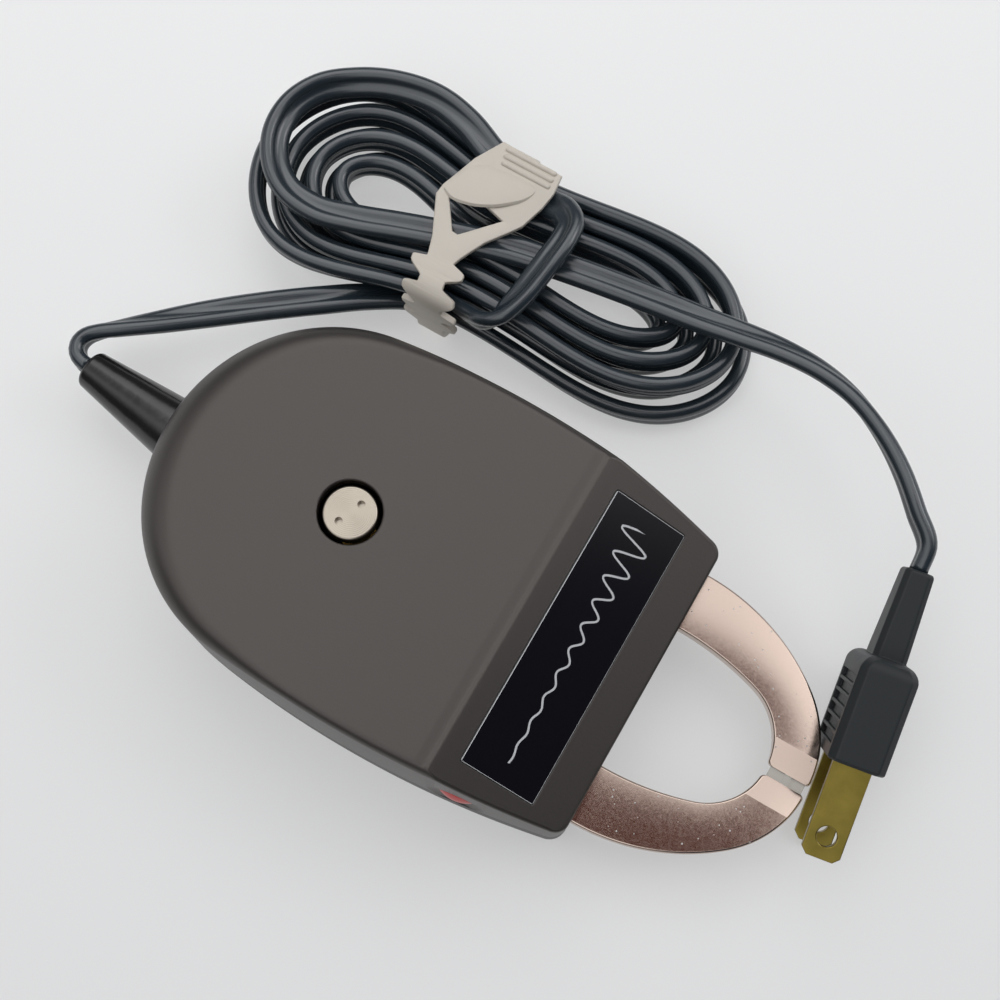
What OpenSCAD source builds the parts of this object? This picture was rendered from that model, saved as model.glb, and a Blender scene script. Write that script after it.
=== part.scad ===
// Tape head demagnetizer: a hand-held mains coil whose two steel pole arms
// reach out of a moulded case and nearly meet at a narrow gap.
// Millimetres. +X points along the case to the pole tips, +Z is up, and the
// case lies on its flat underside at z = 0. The origin is under the middle of
// the case, strain relief and pole arms taken together.

/* [Case] */
// Length of the case, rear wall to front wall
body_len = 88.2; // [86:0.2:96]
// Greatest width of the case
body_w = 62; // [61:0.5:68]
// Height of the case at its flat top
body_h = 28; // [27:0.5:34]
// How much further the sides swell out than the round rear end, on each side
side_swell = 1; // [0.5:0.1:2]
// Plan radius of the two long sides
side_r = 180; // [160:5:240]
// Wall thickness of both shells
wall = 2.2; // [1.6:0.1:2.6]
// Radius of the rounded top edge
top_round = 7; // [5:0.5:8]
// Radius of the rounded bottom edge
base_round = 3; // [2.7:0.1:3.6]
// Plan radius of the two front corners
corner_r = 3; // [1:0.5:4]
// Height of the plane where the shells meet
part_z = 10; // [9.5:0.25:11]

/* [Front panel] */
// Length of the sloping front panel, seen from above
panel_len = 22.5; // [20:0.5:25]
// How far the panel drops from the crease to the front edge
panel_drop = 9; // [7:0.5:10]
// Distance from the label plate to the side of the panel
label_margin = 2.8; // [2:0.1:6]
// Label plate, down the slope
label_l = 13.6; // [10:0.2:15]
// Label plate thickness
label_t = 1.1; // [0.8:0.1:1.3]
// Distance from the crease to the label plate
label_from_crease = 3.8; // [2.5:0.1:5]

/* [Pole arms] */
// How far the arms reach past the front wall
pole_reach = 30.6; // [28:0.2:34]
// Distance from an arm to the side of the case at the front
pole_margin = 4.1; // [3.6:0.1:6]
// Width of each arm where it leaves the case
arm_w = 10.3; // [9.5:0.1:11]
// Depth of the arms at the tips
tip_w = 7.6; // [6.5:0.1:9]
// Plate thickness of the arms
arm_t = 3; // [2:0.1:3.5]
// Air gap between the two tips
tip_gap = 1.7; // [1.2:0.1:2.5]
// Length of the ground face on each tip
tip_face = 4.4; // [3:0.1:5]
// How much less than its half width the loop's outer end radius is
loop_out_flat = 4.2; // [3:0.1:7]
// How much less than its half width the loop's inner end radius is
loop_in_flat = 1.9; // [1.5:0.1:4]

/* [Case screw] */
// Distance from the rear wall to the screw
screw_from_rear = 34.7; // [33:0.1:36]
// Head diameter
screw_head_d = 8.9; // [8:0.1:9.4]
// Head height
screw_head_h = 2.2; // [1.8:0.1:2.4]
// Shank diameter
screw_d = 3.9; // [3.4:0.1:4.2]

/* [Core and coil] */
// Width of the yoke, along the case
yoke_w = 10; // [8:0.5:11]
// Pitch of the laminations
sheet_pitch = 1; // [0.8:0.05:1]
// Distance from the front wall back to the yoke's front face
yoke_from_front = 31; // [30:0.25:31.5]
// Room over the yoke for the winding, up to the case
core_head = 6.3; // [5.8:0.1:7.5]
// Air between the bobbin's cheeks and the case
coil_room = 0.8; // [0.6:0.1:1.5]
// Distance from a bobbin cheek to the arm beside it
bobbin_gap = 0.9; // [0.6:0.1:3]

/* [Push button] */
// Diameter of the red button
button_d = 6; // [5:0.1:7]
// How far the button stands out of the wall
button_proud = 1; // [0.6:0.1:1.2]
// Travel of the button
button_travel = 1.8; // [1.2:0.1:2]
// Diameter of the thumb dish round the button
dish_d = 12; // [10:0.5:14]
// Depth of the thumb dish
dish_depth = 1; // [0.6:0.1:1.1]
// Angle along the side wall's arc at which the button sits
button_turn = 7; // [6:0.25:8]

/* [Strain relief] */
// Length of the tapered part outside the case
relief_len = 21; // [18:0.5:26]
// Diameter at the case
relief_d = 11.6; // [10:0.1:12]
// Diameter at the tip
relief_tip_d = 6.9; // [6.2:0.1:8]
// Sideways lean of the rubber taper
relief_lean = 6; // [0:1:8]

/* [Cord] */
// Width of the flat twin cord
cord_w = 5.3; // [5:0.1:5.4]
// Thickness of the flat twin cord
cord_t = 2.7; // [2.4:0.1:2.8]

/* [Plug] */
// Thickness of the plug's body
plug_t = 9.4; // [9:0.1:9.8]
// Width of the plug's body, across both blades
plug_h = 22; // [20:0.5:24]
// Length of the plug's body
plug_len = 17.5; // [15:0.5:19]
// Length of the plug's neck
neck_len = 14.9; // [14:0.1:16]
// Exposed length of the blades
blade_len = 15.6; // [15:0.1:17]
// Width of a blade
blade_w = 6.35; // [6:0.05:6.5]
// Thickness of a blade
blade_t = 1.5; // [1.3:0.1:1.6]
// Distance between the blades' middle planes
blade_pitch = 12.7; // [12:0.1:13.5]

/* [Hidden] */
$fn = 96;
// Running clearance of the button in its bore, on the radius
run = 0.07;
// Clearance of a piece dropped into a pocket
seat = 0.12;
// Radial clearance of a pressed or screwed fit
press = 0.02;
// Length by which cutters pass through what they cut
over = 1;
// Larger than the whole case, for half-space cutters
big = 300;

// Rounding of the strain relief's tip
relief_tip_round = 0.7;

// Places along X
total_len = relief_out() + body_len + pole_reach;
x_rear = relief_out() - total_len / 2;
x_front = x_rear + body_len;
x_tip = x_front + pole_reach;
screw_x = x_rear + screw_from_rear;
crease_x = x_front - panel_len;

// Plan of the case: two long side arcs and a rear circle. The arcs are tangent
// to a circle a little inside the rear one, so that they cross it cleanly.
half_w = body_w / 2;
rear_r = half_w - side_swell;
rear_x = x_rear + rear_r;
cross_in = 0.2;
touch_r = rear_r - cross_in;
touch_x = x_rear + touch_r;
widest_x = touch_x + sqrt((half_w - touch_r) * (2 * side_r - touch_r - half_w));
side_y = side_r - half_w;
touch_a = atan2(side_y, touch_x - widest_x);
join_x = touch_x + touch_r * cos(touch_a);
corner_y = sqrt(side_r * side_r - pow(x_front - corner_r - widest_x, 2)) - side_y - corner_r;
front_half = corner_y + corner_r;

// Sloping panel
slope = atan(panel_drop / panel_len);
recess_depth = label_t - 0.1;
label_w = 2 * (front_half - label_margin);

// Arms
arm_out = front_half - pole_margin;
arm_in = arm_out - arm_w;
// The shank in the case is a little narrower than the arm
shank_in = 0.1;
arm_z0 = part_z - arm_t / 2;
arm_z1 = part_z + arm_t / 2;
tip_drop = 0.8;
tip_face_y = tip_face + tip_gap / 2;
tip_slope = atan(tip_drop / tip_face);

// Core: the yoke lies across both shanks and its screws come from below
yoke_x1 = x_front - yoke_from_front;
yoke_x0 = yoke_x1 - yoke_w;
yoke_x = (yoke_x0 + yoke_x1) / 2;
sheet_count = round((body_h - wall - arm_z1 - core_head) / sheet_pitch);
yoke_h = sheet_count * sheet_pitch;
yoke_z = arm_z1 + yoke_h / 2;
sheet_slit = 0.05;
shank_mid = (arm_out + arm_in) / 2;
pole_screw_d = 2.9;
pole_screw_head_d = 5.5;
pole_screw_head_h = 1.8;
core_gap = 0.15;
bobbin_len = 2 * (arm_in - bobbin_gap);
cheek_size = 2 * (body_h - wall - coil_room - yoke_z);
bobbin_wall = 1;
cheek_t = 1.2;
core_tube_w = yoke_w + 2 * core_gap + 2 * bobbin_wall;
core_tube_h = yoke_h + 2 * core_gap + 2 * bobbin_wall;
wrap_t = 0.4;
winding_in = 0.05;
winding_t = (cheek_size - max(core_tube_w, core_tube_h)) / 2 - wrap_t - 0.3;

// Case screw and its bosses
head_sink = 0.3;
bore_ring = 0.75;
head_bore_d = screw_head_d + 2 * bore_ring;
screw_top = body_h - head_sink;
boss_joint_z = part_z + 3;
upper_boss_d = head_bore_d + 2 * 1.3;
insert_wall = 1;
insert_d = screw_d + 2 * 0.05 + 2 * insert_wall;
insert_len = 8;
lower_boss_d = insert_d + 2 * 2;
screw_end = boss_joint_z - insert_len + 0.5;
pin_hole_d = 1.3;
pin_hole_pitch = 4.4;
pin_hole_depth = 1.2;
pin_hole_turn = 67;

// Rests under the arms and pads over them
rest_x = x_front - 20;
rest_size = 6;
pad_x = x_front - 7;
pad_size = 5;

// Push button, in a frame whose Y runs inward through the wall
button_x = widest_x + side_r * sin(button_turn);
button_y = side_y - side_r * cos(button_turn);
flange_d = button_d + 1.8;
flange_t = 1;
flange_y = wall + 0.12;
stem_d = 3;
spring_rest = 4.2;
block_y = flange_y + flange_t + spring_rest;
block_wall = 1;
block_len = 6.8;
block_w = 12;
block_h = 7;
button_z = arm_z1 + 0.1 + block_h / 2;
bridge_y = block_y + block_wall + 1.2;
bridge_t = 0.5;
bridge_w = 9;
bridge_h = 3.6;
stem_pin_d = 1.6;
contact_d = 2;
contact_x = 3.2;
contact_gap = 0.1;
contact_y = bridge_y + bridge_t + button_travel + contact_gap;
tail_len = 1.6;
tail_y = block_y + block_len + tail_len;
spring_wire = 0.5;
spring_d = 4.6;
spring_turns = 5;
guide_t = 1.2;
guide_len = 8;
// Ball that cuts the dish, from its width and depth
dish_ball_r = (dish_d * dish_d / 4 + dish_depth * dish_depth) / (2 * dish_depth);

// Strain relief
relief_neck_d = 7;
relief_flange_d = 11;
relief_flange_t = 1.5;
relief_gap = 0.3;
flange_x = x_rear + wall + 0.9;
relief_tip = relief_point(relief_len);
// Reach of the rounded, leaning tip behind the rear wall
function relief_out() = (relief_len - relief_tip_round) * cos(relief_lean)
    + (relief_tip_d / 2 - relief_tip_round) * sin(relief_lean) + relief_tip_round;
function relief_point(l) = [x_rear - l * cos(relief_lean), l * sin(relief_lean), part_z];

// Inner cord and its clamp
wire_d = 2.4;
thin_wire_d = 1.4;
clamp_x = flange_x + 6;
clamp_size = [5, 15, 3];
clamp_post = 4.6;
clamp_pitch = 10.4;
clamp_screw_d = 1.9;
clamp_screw_len = 6;
clamp_screw_head_d = 3.8;
clamp_screw_head_h = 1.4;
clamp_clear = 0.1;
clamp_z = part_z + wire_d / 2 + 0.05;
sleeve_x0 = screw_x - 6.7;
sleeve_y = 16;
sleeve_z = 12;
sleeve_len = 7;
inner_x = flange_x + relief_flange_t;
wrap_x0 = yoke_x - core_tube_w / 2 - winding_t - winding_in - wrap_t;
wrap_x1 = yoke_x + core_tube_w / 2 + winding_t + winding_in + wrap_t;
// Wires inside the case, hand-chosen between their fixed ends
supply_route = [
    [inner_x, 1.35, part_z], [inner_x + 4, 1.35, part_z], [-36, 2, part_z], [-32, 5.5, 10.4],
    [-28.5, 10, 11], [-25.8, 14, 11.8], [sleeve_x0 - 2.4, sleeve_y, sleeve_z],
    [sleeve_x0, sleeve_y, sleeve_z]];
switch_route = [
    [inner_x, -1.35, part_z], [inner_x + 4, -1.35, part_z], [-36, -2, part_z], [-30.5, -4.5, 8.4],
    [-24, -7.6, 5.2], [-15, -8.6, 4], [-5, -8.6, 4], [5, -8.6, 4], [13, -8.2, 4], [17, -7, 4.6],
    [20, -6, 7.2], [21.4, -5.8, 10.6], [21.6, -6.6, 13.4], [21.8, -8.6, 14.8],
    from_button(contact_x, tail_y + 2.6), from_button(contact_x, tail_y)];
lead_a_route = [
    [sleeve_x0 + sleeve_len, sleeve_y, sleeve_z], [sleeve_x0 + sleeve_len + 1.5, sleeve_y, sleeve_z],
    [-10.4, 14.4, 12.6], [-8.9, 11.4, 13.6], [-8.4, 9.2, 14.6], [wrap_x0 - 1.4, 8, 15], [wrap_x0, 8, 15]];
lead_b_route = [
    from_button(-contact_x, tail_y), from_button(-contact_x, tail_y + 1.6), [15.6, -9.6, 15],
    [15.2, -7.2, 15], [wrap_x1 + 1.4, -6, 15], [wrap_x1, -6, 15]];

// Hank: loops that spiral in on the lower layer and out again on the upper
// one, drawn in at the waist where the tie holds them
hank_x = -21.6;
hank_y = 57;
layer_turns = 3.5;
rings_per_loop = 24;
hank_sides = 6;
reach_right = 31;
reach_left = 28;
lobe_right = 6.5;
lobe_left = 8.5;
// How far the right lobe lies to +Y and the left one to -Y
lobe_sway = 2;
waist_in = 1.9;
step_right = 5.3;
step_left = 4.9;
step_lobe_right = 5.1;
step_lobe_left = 6;
step_waist = 3.35;
hank_lean = 18;
hank_z = 2.75;
layer_rise = 6.4;
waist_lift = 1.4;
hank_turns = 2 * layer_turns;

// Distance in turns from the innermost loop, which sets how far out a loop lies
function out_turns(t) = abs(t - layer_turns);
function ease(k) = k * k * (3 - 2 * k);
function climb(t) = ease(min(1, max(0, (t - layer_turns + 0.25) / 0.5)));
function waist_share(t) = pow(sin(360 * t - 90), 4);
function waist_half(t) =
    waist_in * (1 - pow(max(0, 1 - 2 * out_turns(t)), 2)) + step_waist * out_turns(t);
function on_right(t) = cos(360 * t - 90) > 0;
function loop_reach(t) =
    on_right(t) ? reach_right + step_right * out_turns(t) : reach_left + step_left * out_turns(t);
function loop_lobe(t) =
    on_right(t) ? lobe_right + step_lobe_right * out_turns(t) : lobe_left + step_lobe_left * out_turns(t);
// Middle of the cord after t turns
function hank_point(t) = [
    hank_x + loop_reach(t) * cos(360 * t - 90),
    hank_y + lobe_sway * cos(360 * t - 90) + sin(360 * t - 90)
        * (loop_lobe(t) * (1 - waist_share(t)) + waist_half(t) * waist_share(t)),
    hank_z + layer_rise * climb(t) + waist_lift * waist_share(t)];
function hank_roll(t) = hank_lean * pow(abs(sin(360 * t - 90)), 3);

// Sweeping a flat twin section along points with tangents and rolls
function unit(v) = v / norm(v);
function side_of(t) = unit(cross(t, [0, 0, 1]));
// Direction of the cord's width: upright at roll 0, sideways at roll 90
function width_dir(t, roll) = cos(roll) * cross(side_of(t), t) + sin(roll) * side_of(t);
// Outline of the twin section at angle a: two half circles, a cord_t apart at most
function twin_u(a) = (cord_w - cord_t) / 2 * sign(round(cos(a) * 1000)) + cord_t / 2 * cos(a);
function twin_ring(p, t, roll, sides) = [for (i = [0:sides - 1])
    p + twin_u(360 * i / sides) * width_dir(t, roll)
      + cord_t / 2 * sin(360 * i / sides) * cross(t, width_dir(t, roll))];
function round_ring(p, t, d, sides) = [for (i = [0:sides - 1])
    p + d / 2 * cos(360 * i / sides) * width_dir(t, 0)
      + d / 2 * sin(360 * i / sides) * cross(t, width_dir(t, 0))];
function tube_faces(rings, sides) = [
    for (r = [0:rings - 2], s = [0:sides - 1])
        [r * sides + s, (r + 1) * sides + (s + 1) % sides, r * sides + (s + 1) % sides],
    for (r = [0:rings - 2], s = [0:sides - 1])
        [r * sides + s, (r + 1) * sides + s, (r + 1) * sides + (s + 1) % sides],
    for (s = [1:sides - 2]) [0, s, s + 1],
    for (s = [1:sides - 2])
        [(rings - 1) * sides, (rings - 1) * sides + s + 1, (rings - 1) * sides + s]];
function route_dir(route, i) = unit(route[min(i + 1, len(route) - 1)] - route[max(i - 1, 0)]);
function column(rows, c) = [for (r = rows) r[c]];
function flat(rings) = [for (ring = rings) for (p = ring) p];

// Least gap of the hank to itself, on the middles of its two conductors
gap_steps = 40;
near_turns = 0.22;
function hank_dir(t) = unit(hank_point(t + 0.002) - hank_point(t - 0.002));
function conductor(t, side) =
    hank_point(t) + side * (cord_w - cord_t) / 2 * width_dir(hank_dir(t), hank_roll(t));
gap_points = [for (i = [0:hank_turns * gap_steps], side = [-1, 1])
    [i / gap_steps, conductor(i / gap_steps, side)]];
hank_gap = min([for (a = gap_points, b = gap_points)
    if (b[0] - a[0] > near_turns) norm(a[1] - b[1]) - cord_t]);

// Cord tie
tie_x = -25;
tie_t = 1.1;
tie_w = 5.4;
tie_y0 = 40.2;
tie_y1 = 72.6;
tie_z0 = 1.2;
tie_z1 = 16.9;
tie_round = 3.2;
tooth_d = 3;
tooth_pitch = 4.4;
tooth_count = 3;

// Plug: its frame has X running back along the axis from the blade tips
plug_pos = [75.7, -7, 7];
plug_yaw = 99.3;
plug_pitch = 14;
function plug_at(l) = plug_pos + l * [cos(plug_yaw) * cos(plug_pitch), sin(plug_yaw) * cos(plug_pitch),
    sin(plug_pitch)];
blade_in = 5;
blade_hole_d = 3.3;
blade_hole_x = 3.7;
blade_chamfer = 1;
slot_gap = 0.03;
plug_back = blade_len + plug_len;
plug_end = plug_back + neck_len;
shoulder = 2.4;
edge_chamfer = 1.2;
neck_h0 = 9.6;
neck_h1 = 7.4;
neck_w0 = 5.6;
neck_w1 = 4.8;

// Cord routes, hand-chosen: a point, then the roll of the cord's width from
// upright, in degrees (0 stands on edge, 90 lies flat)
lead_in_route = [
    [relief_point(relief_len), 0], [relief_point(relief_len + 1.6), 0], [[-72.4, 2.9, 10], 0],
    [[-73.4, 4, 10], 4], [[-73.7, 5.4, 10], 8], [[-73.3, 6.8, 10], 12], [[-72, 8.4, 10], 18],
    [[-69, 11, 10], 30], [[-64, 15.2, 9.9], 52], [[-57.5, 20.8, 9.5], 76], [[-50, 27, 9], 88],
    [[-42.5, 33, 8], 86], [[-35.5, 38.4, 6.6], 70], [[-30, 41.6, 5.2], 44], [[-26, 42.8, 4.4], 26],
    [hank_point(0), hank_lean]];
lead_out_route = [
    [hank_point(hank_turns), hank_lean], [[-18.2, 42.7, 11.9], 14], [[-15.2, 42.2, 14], 10],
    [[-12.6, 43.4, 16.4], 32], [[-11, 47.2, 17.7], 52], [[-10.2, 51.8, 18.3], 60], [[-9.7, 56, 18.7], 60],
    [[-9.4, 60.2, 18.6], 58], [[-10, 63.4, 17.8], 60], [[-12.2, 65.4, 16.4], 74], [[-15.4, 66, 15.1], 88],
    [[-19.6, 66.4, 15], 90],
    [[-24, 67.6, 15], 90], [[-29, 69.4, 15], 86], [[-35.2, 72, 15], 72], [[-42, 73.3, 15], 60],
    [[-49.4, 72.2, 15], 54], [[-56.4, 69.2, 14.6], 50], [[-61.4, 65, 14.6], 50], [[-63.8, 59.8, 14.6], 50],
    [[-63.6, 54.2, 14.6], 52], [[-61, 49.4, 14.6], 58], [[-56.4, 46, 14.6], 68], [[-50.2, 45.2, 14.6], 80],
    [[-43.5, 46.8, 14.8], 88], [[-36, 49.4, 15], 90], [[-29, 51.8, 15], 90], [[-22, 54, 15], 90],
    [[-15.6, 55.8, 14.7], 90], [[-8.5, 57.2, 14.4], 90], [[-1, 58.4, 14.4], 88], [[7.8, 59.6, 14.4], 84],
    [[16.6, 60.5, 14.8], 76], [[24.4, 61.3, 15.7], 66], [[31.6, 61.8, 16.8], 52], [[38.8, 61.4, 18], 38],
    [[45.2, 59.8, 19.1], 26], [[52.2, 56.2, 20.1], 14], [[58.4, 51.6, 20.6], 6], [[63.4, 46.8, 20.5], 2],
    [plug_at(plug_end + 4), 0], [plug_at(plug_end), 0]];

// Sections and frames

// Section of a disc with rounded top and bottom edges, from the axis side out
module edge_section(r, depth, z0, z1, top_r, base_r) {
    difference() {
        translate([r - depth, z0]) square([depth, z1 - z0]);
        translate([r - top_r, z1 - top_r]) difference() {
            square(top_r + over);
            circle(top_r);
        }
        translate([r - base_r, z0 + base_r]) difference() {
            translate([0, -base_r - over]) square(base_r + over);
            circle(base_r);
        }
    }
}

// Half of the case on the +Y side: within its side arc, ahead of the rear circle
module case_half(inset) {
    intersection() {
        translate([widest_x, -side_y, 0]) rotate_extrude()
            edge_section(side_r - inset, body_w, inset, body_h - inset, top_round - inset,
                base_round - inset);
        union() {
            translate([rear_x, 0, 0]) rotate_extrude()
                edge_section(rear_r - inset, rear_r - inset, inset, body_h - inset,
                    top_round - inset, base_round - inset);
            translate([join_x, -body_w, inset])
                cube([x_front - inset - join_x, 2 * body_w, body_h - 2 * inset]);
        }
        translate([-big / 2, 0, -over]) cube([big, big, body_h + 2 * over]);
    }
}

// What rounds off the front corner on the +Y side
module corner_cut(inset) {
    round_r = max(0.3, corner_r - inset);
    translate([x_front - inset - round_r, corner_y + corner_r - inset - round_r, -over])
        linear_extrude(body_h + 2 * over) difference() {
            square(round_r + 3 * over);
            circle(round_r);
        }
}

// Frame of the sloping panel: X runs down the slope from the crease, Z out
module on_panel() {
    translate([crease_x, 0, body_h]) rotate([0, slope, 0]) children();
}

// The whole case as a solid, drawn in by inset on every face
module case_form(inset) {
    difference() {
        union() {
            case_half(inset);
            mirror([0, 1, 0]) case_half(inset);
        }
        corner_cut(inset);
        mirror([0, 1, 0]) corner_cut(inset);
        on_panel() translate([-big / 2, -big / 2, -inset]) cube([big, big, big / 2]);
    }
}

module above_parting() {
    translate([-big / 2, -big / 2, part_z]) cube([big, big, big / 2]);
}

module below_parting() {
    translate([-big / 2, -big / 2, part_z - big / 2]) cube([big, big, big / 2]);
}

// Frame of the button: Y runs inward along its axis, Z stays up
module at_button() {
    translate([button_x, button_y, button_z]) rotate([0, 0, button_turn]) children();
}

// A point of the button's frame in the frame of the whole part
function from_button(x, y) = [
    button_x + x * cos(button_turn) - y * sin(button_turn),
    button_y + x * sin(button_turn) + y * cos(button_turn),
    button_z];

// A cylinder along the button's axis, from y0 to y1
module along_button(d, y0, y1) {
    at_button() translate([0, y0, 0]) rotate([-90, 0, 0]) cylinder(d = d, h = y1 - y0);
}

// Frame of the plug: X runs back from the blade tips along its axis
module on_plug() {
    translate(plug_pos) rotate([0, 0, plug_yaw]) rotate([0, -plug_pitch, 0]) children();
}

// Cut-outs that both shells share at the front and rear walls
module wall_cuts() {
    for (side = [-1, 1])
        translate([x_front - wall - over, side * shank_mid - arm_w / 2 - seat, arm_z0 - seat])
            cube([wall + 2 * over, arm_w + 2 * seat, arm_t + 2 * seat]);
    translate([x_rear - over, 0, part_z]) rotate([0, 90, 0])
        cylinder(d = relief_neck_d + 2 * run, h = wall + 2 * over);
}

// Moulded case

// Lower half with the insert boss, the rests under the arms and the clamp posts
module lower_shell() {
    color([0.24, 0.22, 0.21]) difference() {
        union() {
            difference() {
                intersection() {
                    case_form(0);
                    below_parting();
                }
                case_form(wall);
            }
            intersection() {
                case_form(wall / 2);
                lower_fittings();
            }
        }
        wall_cuts();
        translate([screw_x, 0, boss_joint_z - insert_len])
            cylinder(d = insert_d + 2 * press, h = insert_len + over);
        for (side = [-1, 1])
            translate([clamp_x, side * clamp_pitch / 2, clamp_z - clamp_screw_len])
                cylinder(d = clamp_screw_d + 2 * press, h = clamp_screw_len + over);
    }
}

module lower_fittings() {
    translate([screw_x, 0, 0]) cylinder(d = lower_boss_d, h = boss_joint_z);
    for (side = [-1, 1]) {
        translate([rest_x - rest_size / 2, side * shank_mid - rest_size / 2, 0])
            cube([rest_size, rest_size, arm_z0]);
        translate([clamp_x, side * clamp_pitch / 2, 0]) cylinder(d = clamp_post, h = clamp_z);
    }
    translate([clamp_x - 1.5, -3, 0]) cube([3, 6, part_z - wire_d / 2 - 0.1]);
}

// Upper half with the screw boss, the pads over the arms and the switch guides
module upper_shell() {
    color([0.38, 0.36, 0.35]) difference() {
        union() {
            difference() {
                intersection() {
                    case_form(0);
                    above_parting();
                }
                case_form(wall);
            }
            intersection() {
                case_form(wall / 2);
                upper_fittings();
            }
        }
        wall_cuts();
        translate([screw_x, 0, screw_top - screw_head_h]) cylinder(d = head_bore_d, h = body_h);
        translate([screw_x, 0, 0]) cylinder(d = screw_d + 2 * 0.3, h = body_h);
        on_panel() translate([label_from_crease - seat, -label_w / 2 - seat, -recess_depth])
            cube([label_l + 2 * seat, label_w + 2 * seat, recess_depth + over]);
        along_button(button_d + 2 * run, -over, wall + over);
        at_button() translate([0, dish_depth - dish_ball_r, 0]) sphere(dish_ball_r);
    }
}

module upper_fittings() {
    translate([screw_x, 0, boss_joint_z]) cylinder(d = upper_boss_d, h = body_h);
    for (side = [-1, 1]) {
        translate([pad_x - pad_size / 2, side * shank_mid - pad_size / 2, arm_z1])
            cube([pad_size, pad_size, body_h]);
        at_button()
            translate([side * (block_w / 2 + seat + guide_t / 2) - guide_t / 2, 0, -block_h / 2 + 0.3])
            cube([guide_t, guide_len, body_h]);
    }
}

// Spun head with two blind holes for a pin spanner
module case_screw() {
    color([0.72, 0.72, 0.73]) difference() {
        union() {
            translate([screw_x, 0, screw_top - screw_head_h]) cylinder(d = screw_head_d, h = screw_head_h);
            translate([screw_x, 0, screw_end]) cylinder(d = screw_d, h = screw_top - screw_end - over);
        }
        for (side = [-1, 1])
            translate([screw_x, 0, screw_top - pin_hole_depth]) rotate([0, 0, pin_hole_turn])
                translate([side * pin_hole_pitch / 2, 0, 0])
                    cylinder(d = pin_hole_d, h = 2 * pin_hole_depth, $fn = 32);
    }
}

module screw_insert() {
    color([0.72, 0.58, 0.28]) translate([screw_x, 0, boss_joint_z - insert_len]) difference() {
        cylinder(d = insert_d, h = insert_len);
        translate([0, 0, -over]) cylinder(d = screw_d + 2 * 0.05, h = insert_len + 2 * over);
    }
}

module label_plate() {
    color([0.06, 0.06, 0.07])
        on_panel() translate([label_from_crease, -label_w / 2, -recess_depth])
            cube([label_l, label_w, label_t]);
}

// Pole arms and core

// Front part of an oval: two long arcs that run into a round end. They are
// tangent to a circle a little inside the end's, so that they cross it cleanly.
module half_oval(a, b, end_r) {
    end_x = a - end_r;
    touch = end_r - cross_in;
    long_r = (end_x * end_x + b * b - touch * touch) / (2 * (b - touch));
    intersection() {
        translate([0, b - long_r]) circle(long_r);
        translate([0, long_r - b]) circle(long_r);
        union() {
            translate([end_x, 0]) circle(end_r);
            translate([0, -big / 2]) square([end_x * (1 + touch / (long_r - touch)), big]);
        }
    }
}

// One arm on the +Y side, with its shank inside the case
module arm() {
    difference() {
        translate([x_front, 0, arm_z0]) linear_extrude(arm_t) {
            intersection() {
                difference() {
                    half_oval(pole_reach, arm_out, arm_out - loop_out_flat);
                    half_oval(pole_reach - tip_w, arm_in, arm_in - loop_in_flat);
                }
                translate([0, tip_gap / 2]) square([big, big]);
            }
            translate([yoke_x0 - x_front, arm_in + shank_in])
                square([x_front - yoke_x0 + over, arm_w - 2 * shank_in]);
        }
        translate([yoke_x, shank_mid, arm_z0 - over])
            cylinder(d = pole_screw_d + 2 * 0.05, h = arm_t + 2 * over);
        for (flip = [0, 1])
            translate([0, tip_face_y, part_z]) mirror([0, 0, flip]) translate([0, 0, arm_t / 2])
                rotate([tip_slope, 0, 0]) translate([x_front, -2 * tip_face, 0])
                    cube([2 * pole_reach, 2 * tip_face, arm_t]);
    }
}

module pole_arm_left() {
    color([0.72, 0.68, 0.64]) arm();
}

module pole_arm_right() {
    color([0.72, 0.68, 0.64]) mirror([0, 1, 0]) arm();
}

// Clear plastic piece that keeps the tips apart, with a rib across its middle
module gap_spacer() {
    spacer_x0 = x_tip - tip_w + 0.7;
    spacer_len = tip_w - 1.4;
    color([0.85, 0.84, 0.8, 0.8]) {
        translate([spacer_x0, -tip_gap / 2, arm_z0 + tip_drop + 0.2])
            cube([spacer_len, tip_gap, arm_t - 2 * tip_drop - 0.6]);
        translate([spacer_x0 + spacer_len / 2 - 0.6, -tip_gap / 2, part_z])
            cube([1.2, tip_gap, arm_t / 2 - tip_drop]);
    }
}

module core_laminations() {
    color([0.45, 0.44, 0.43]) difference() {
        for (i = [0:sheet_count - 1])
            translate([yoke_x0, -arm_out, arm_z1 + i * sheet_pitch])
                cube([yoke_w, 2 * arm_out, sheet_pitch - sheet_slit]);
        for (side = [-1, 1])
            translate([yoke_x, side * shank_mid, arm_z1 - over])
                cylinder(d = pole_screw_d + 2 * 0.05, h = yoke_h + 2 * over);
    }
}

module pole_screws() {
    color([0.6, 0.6, 0.6]) for (side = [-1, 1]) translate([yoke_x, side * shank_mid, 0]) {
        translate([0, 0, arm_z0 - pole_screw_head_h]) cylinder(d = pole_screw_head_d, h = pole_screw_head_h);
        translate([0, 0, arm_z0 - over]) cylinder(d = pole_screw_d, h = arm_t + yoke_h - 1 + over);
    }
}

// A box ring round the yoke, from y0 to y1
module core_ring(w0, h0, w1, h1, y0, y1) {
    translate([yoke_x, 0, yoke_z]) difference() {
        translate([-w1 / 2, y0, -h1 / 2]) cube([w1, y1 - y0, h1]);
        translate([-w0 / 2, y0 - over, -h0 / 2]) cube([w0, y1 - y0 + 2 * over, h0]);
    }
}

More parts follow.
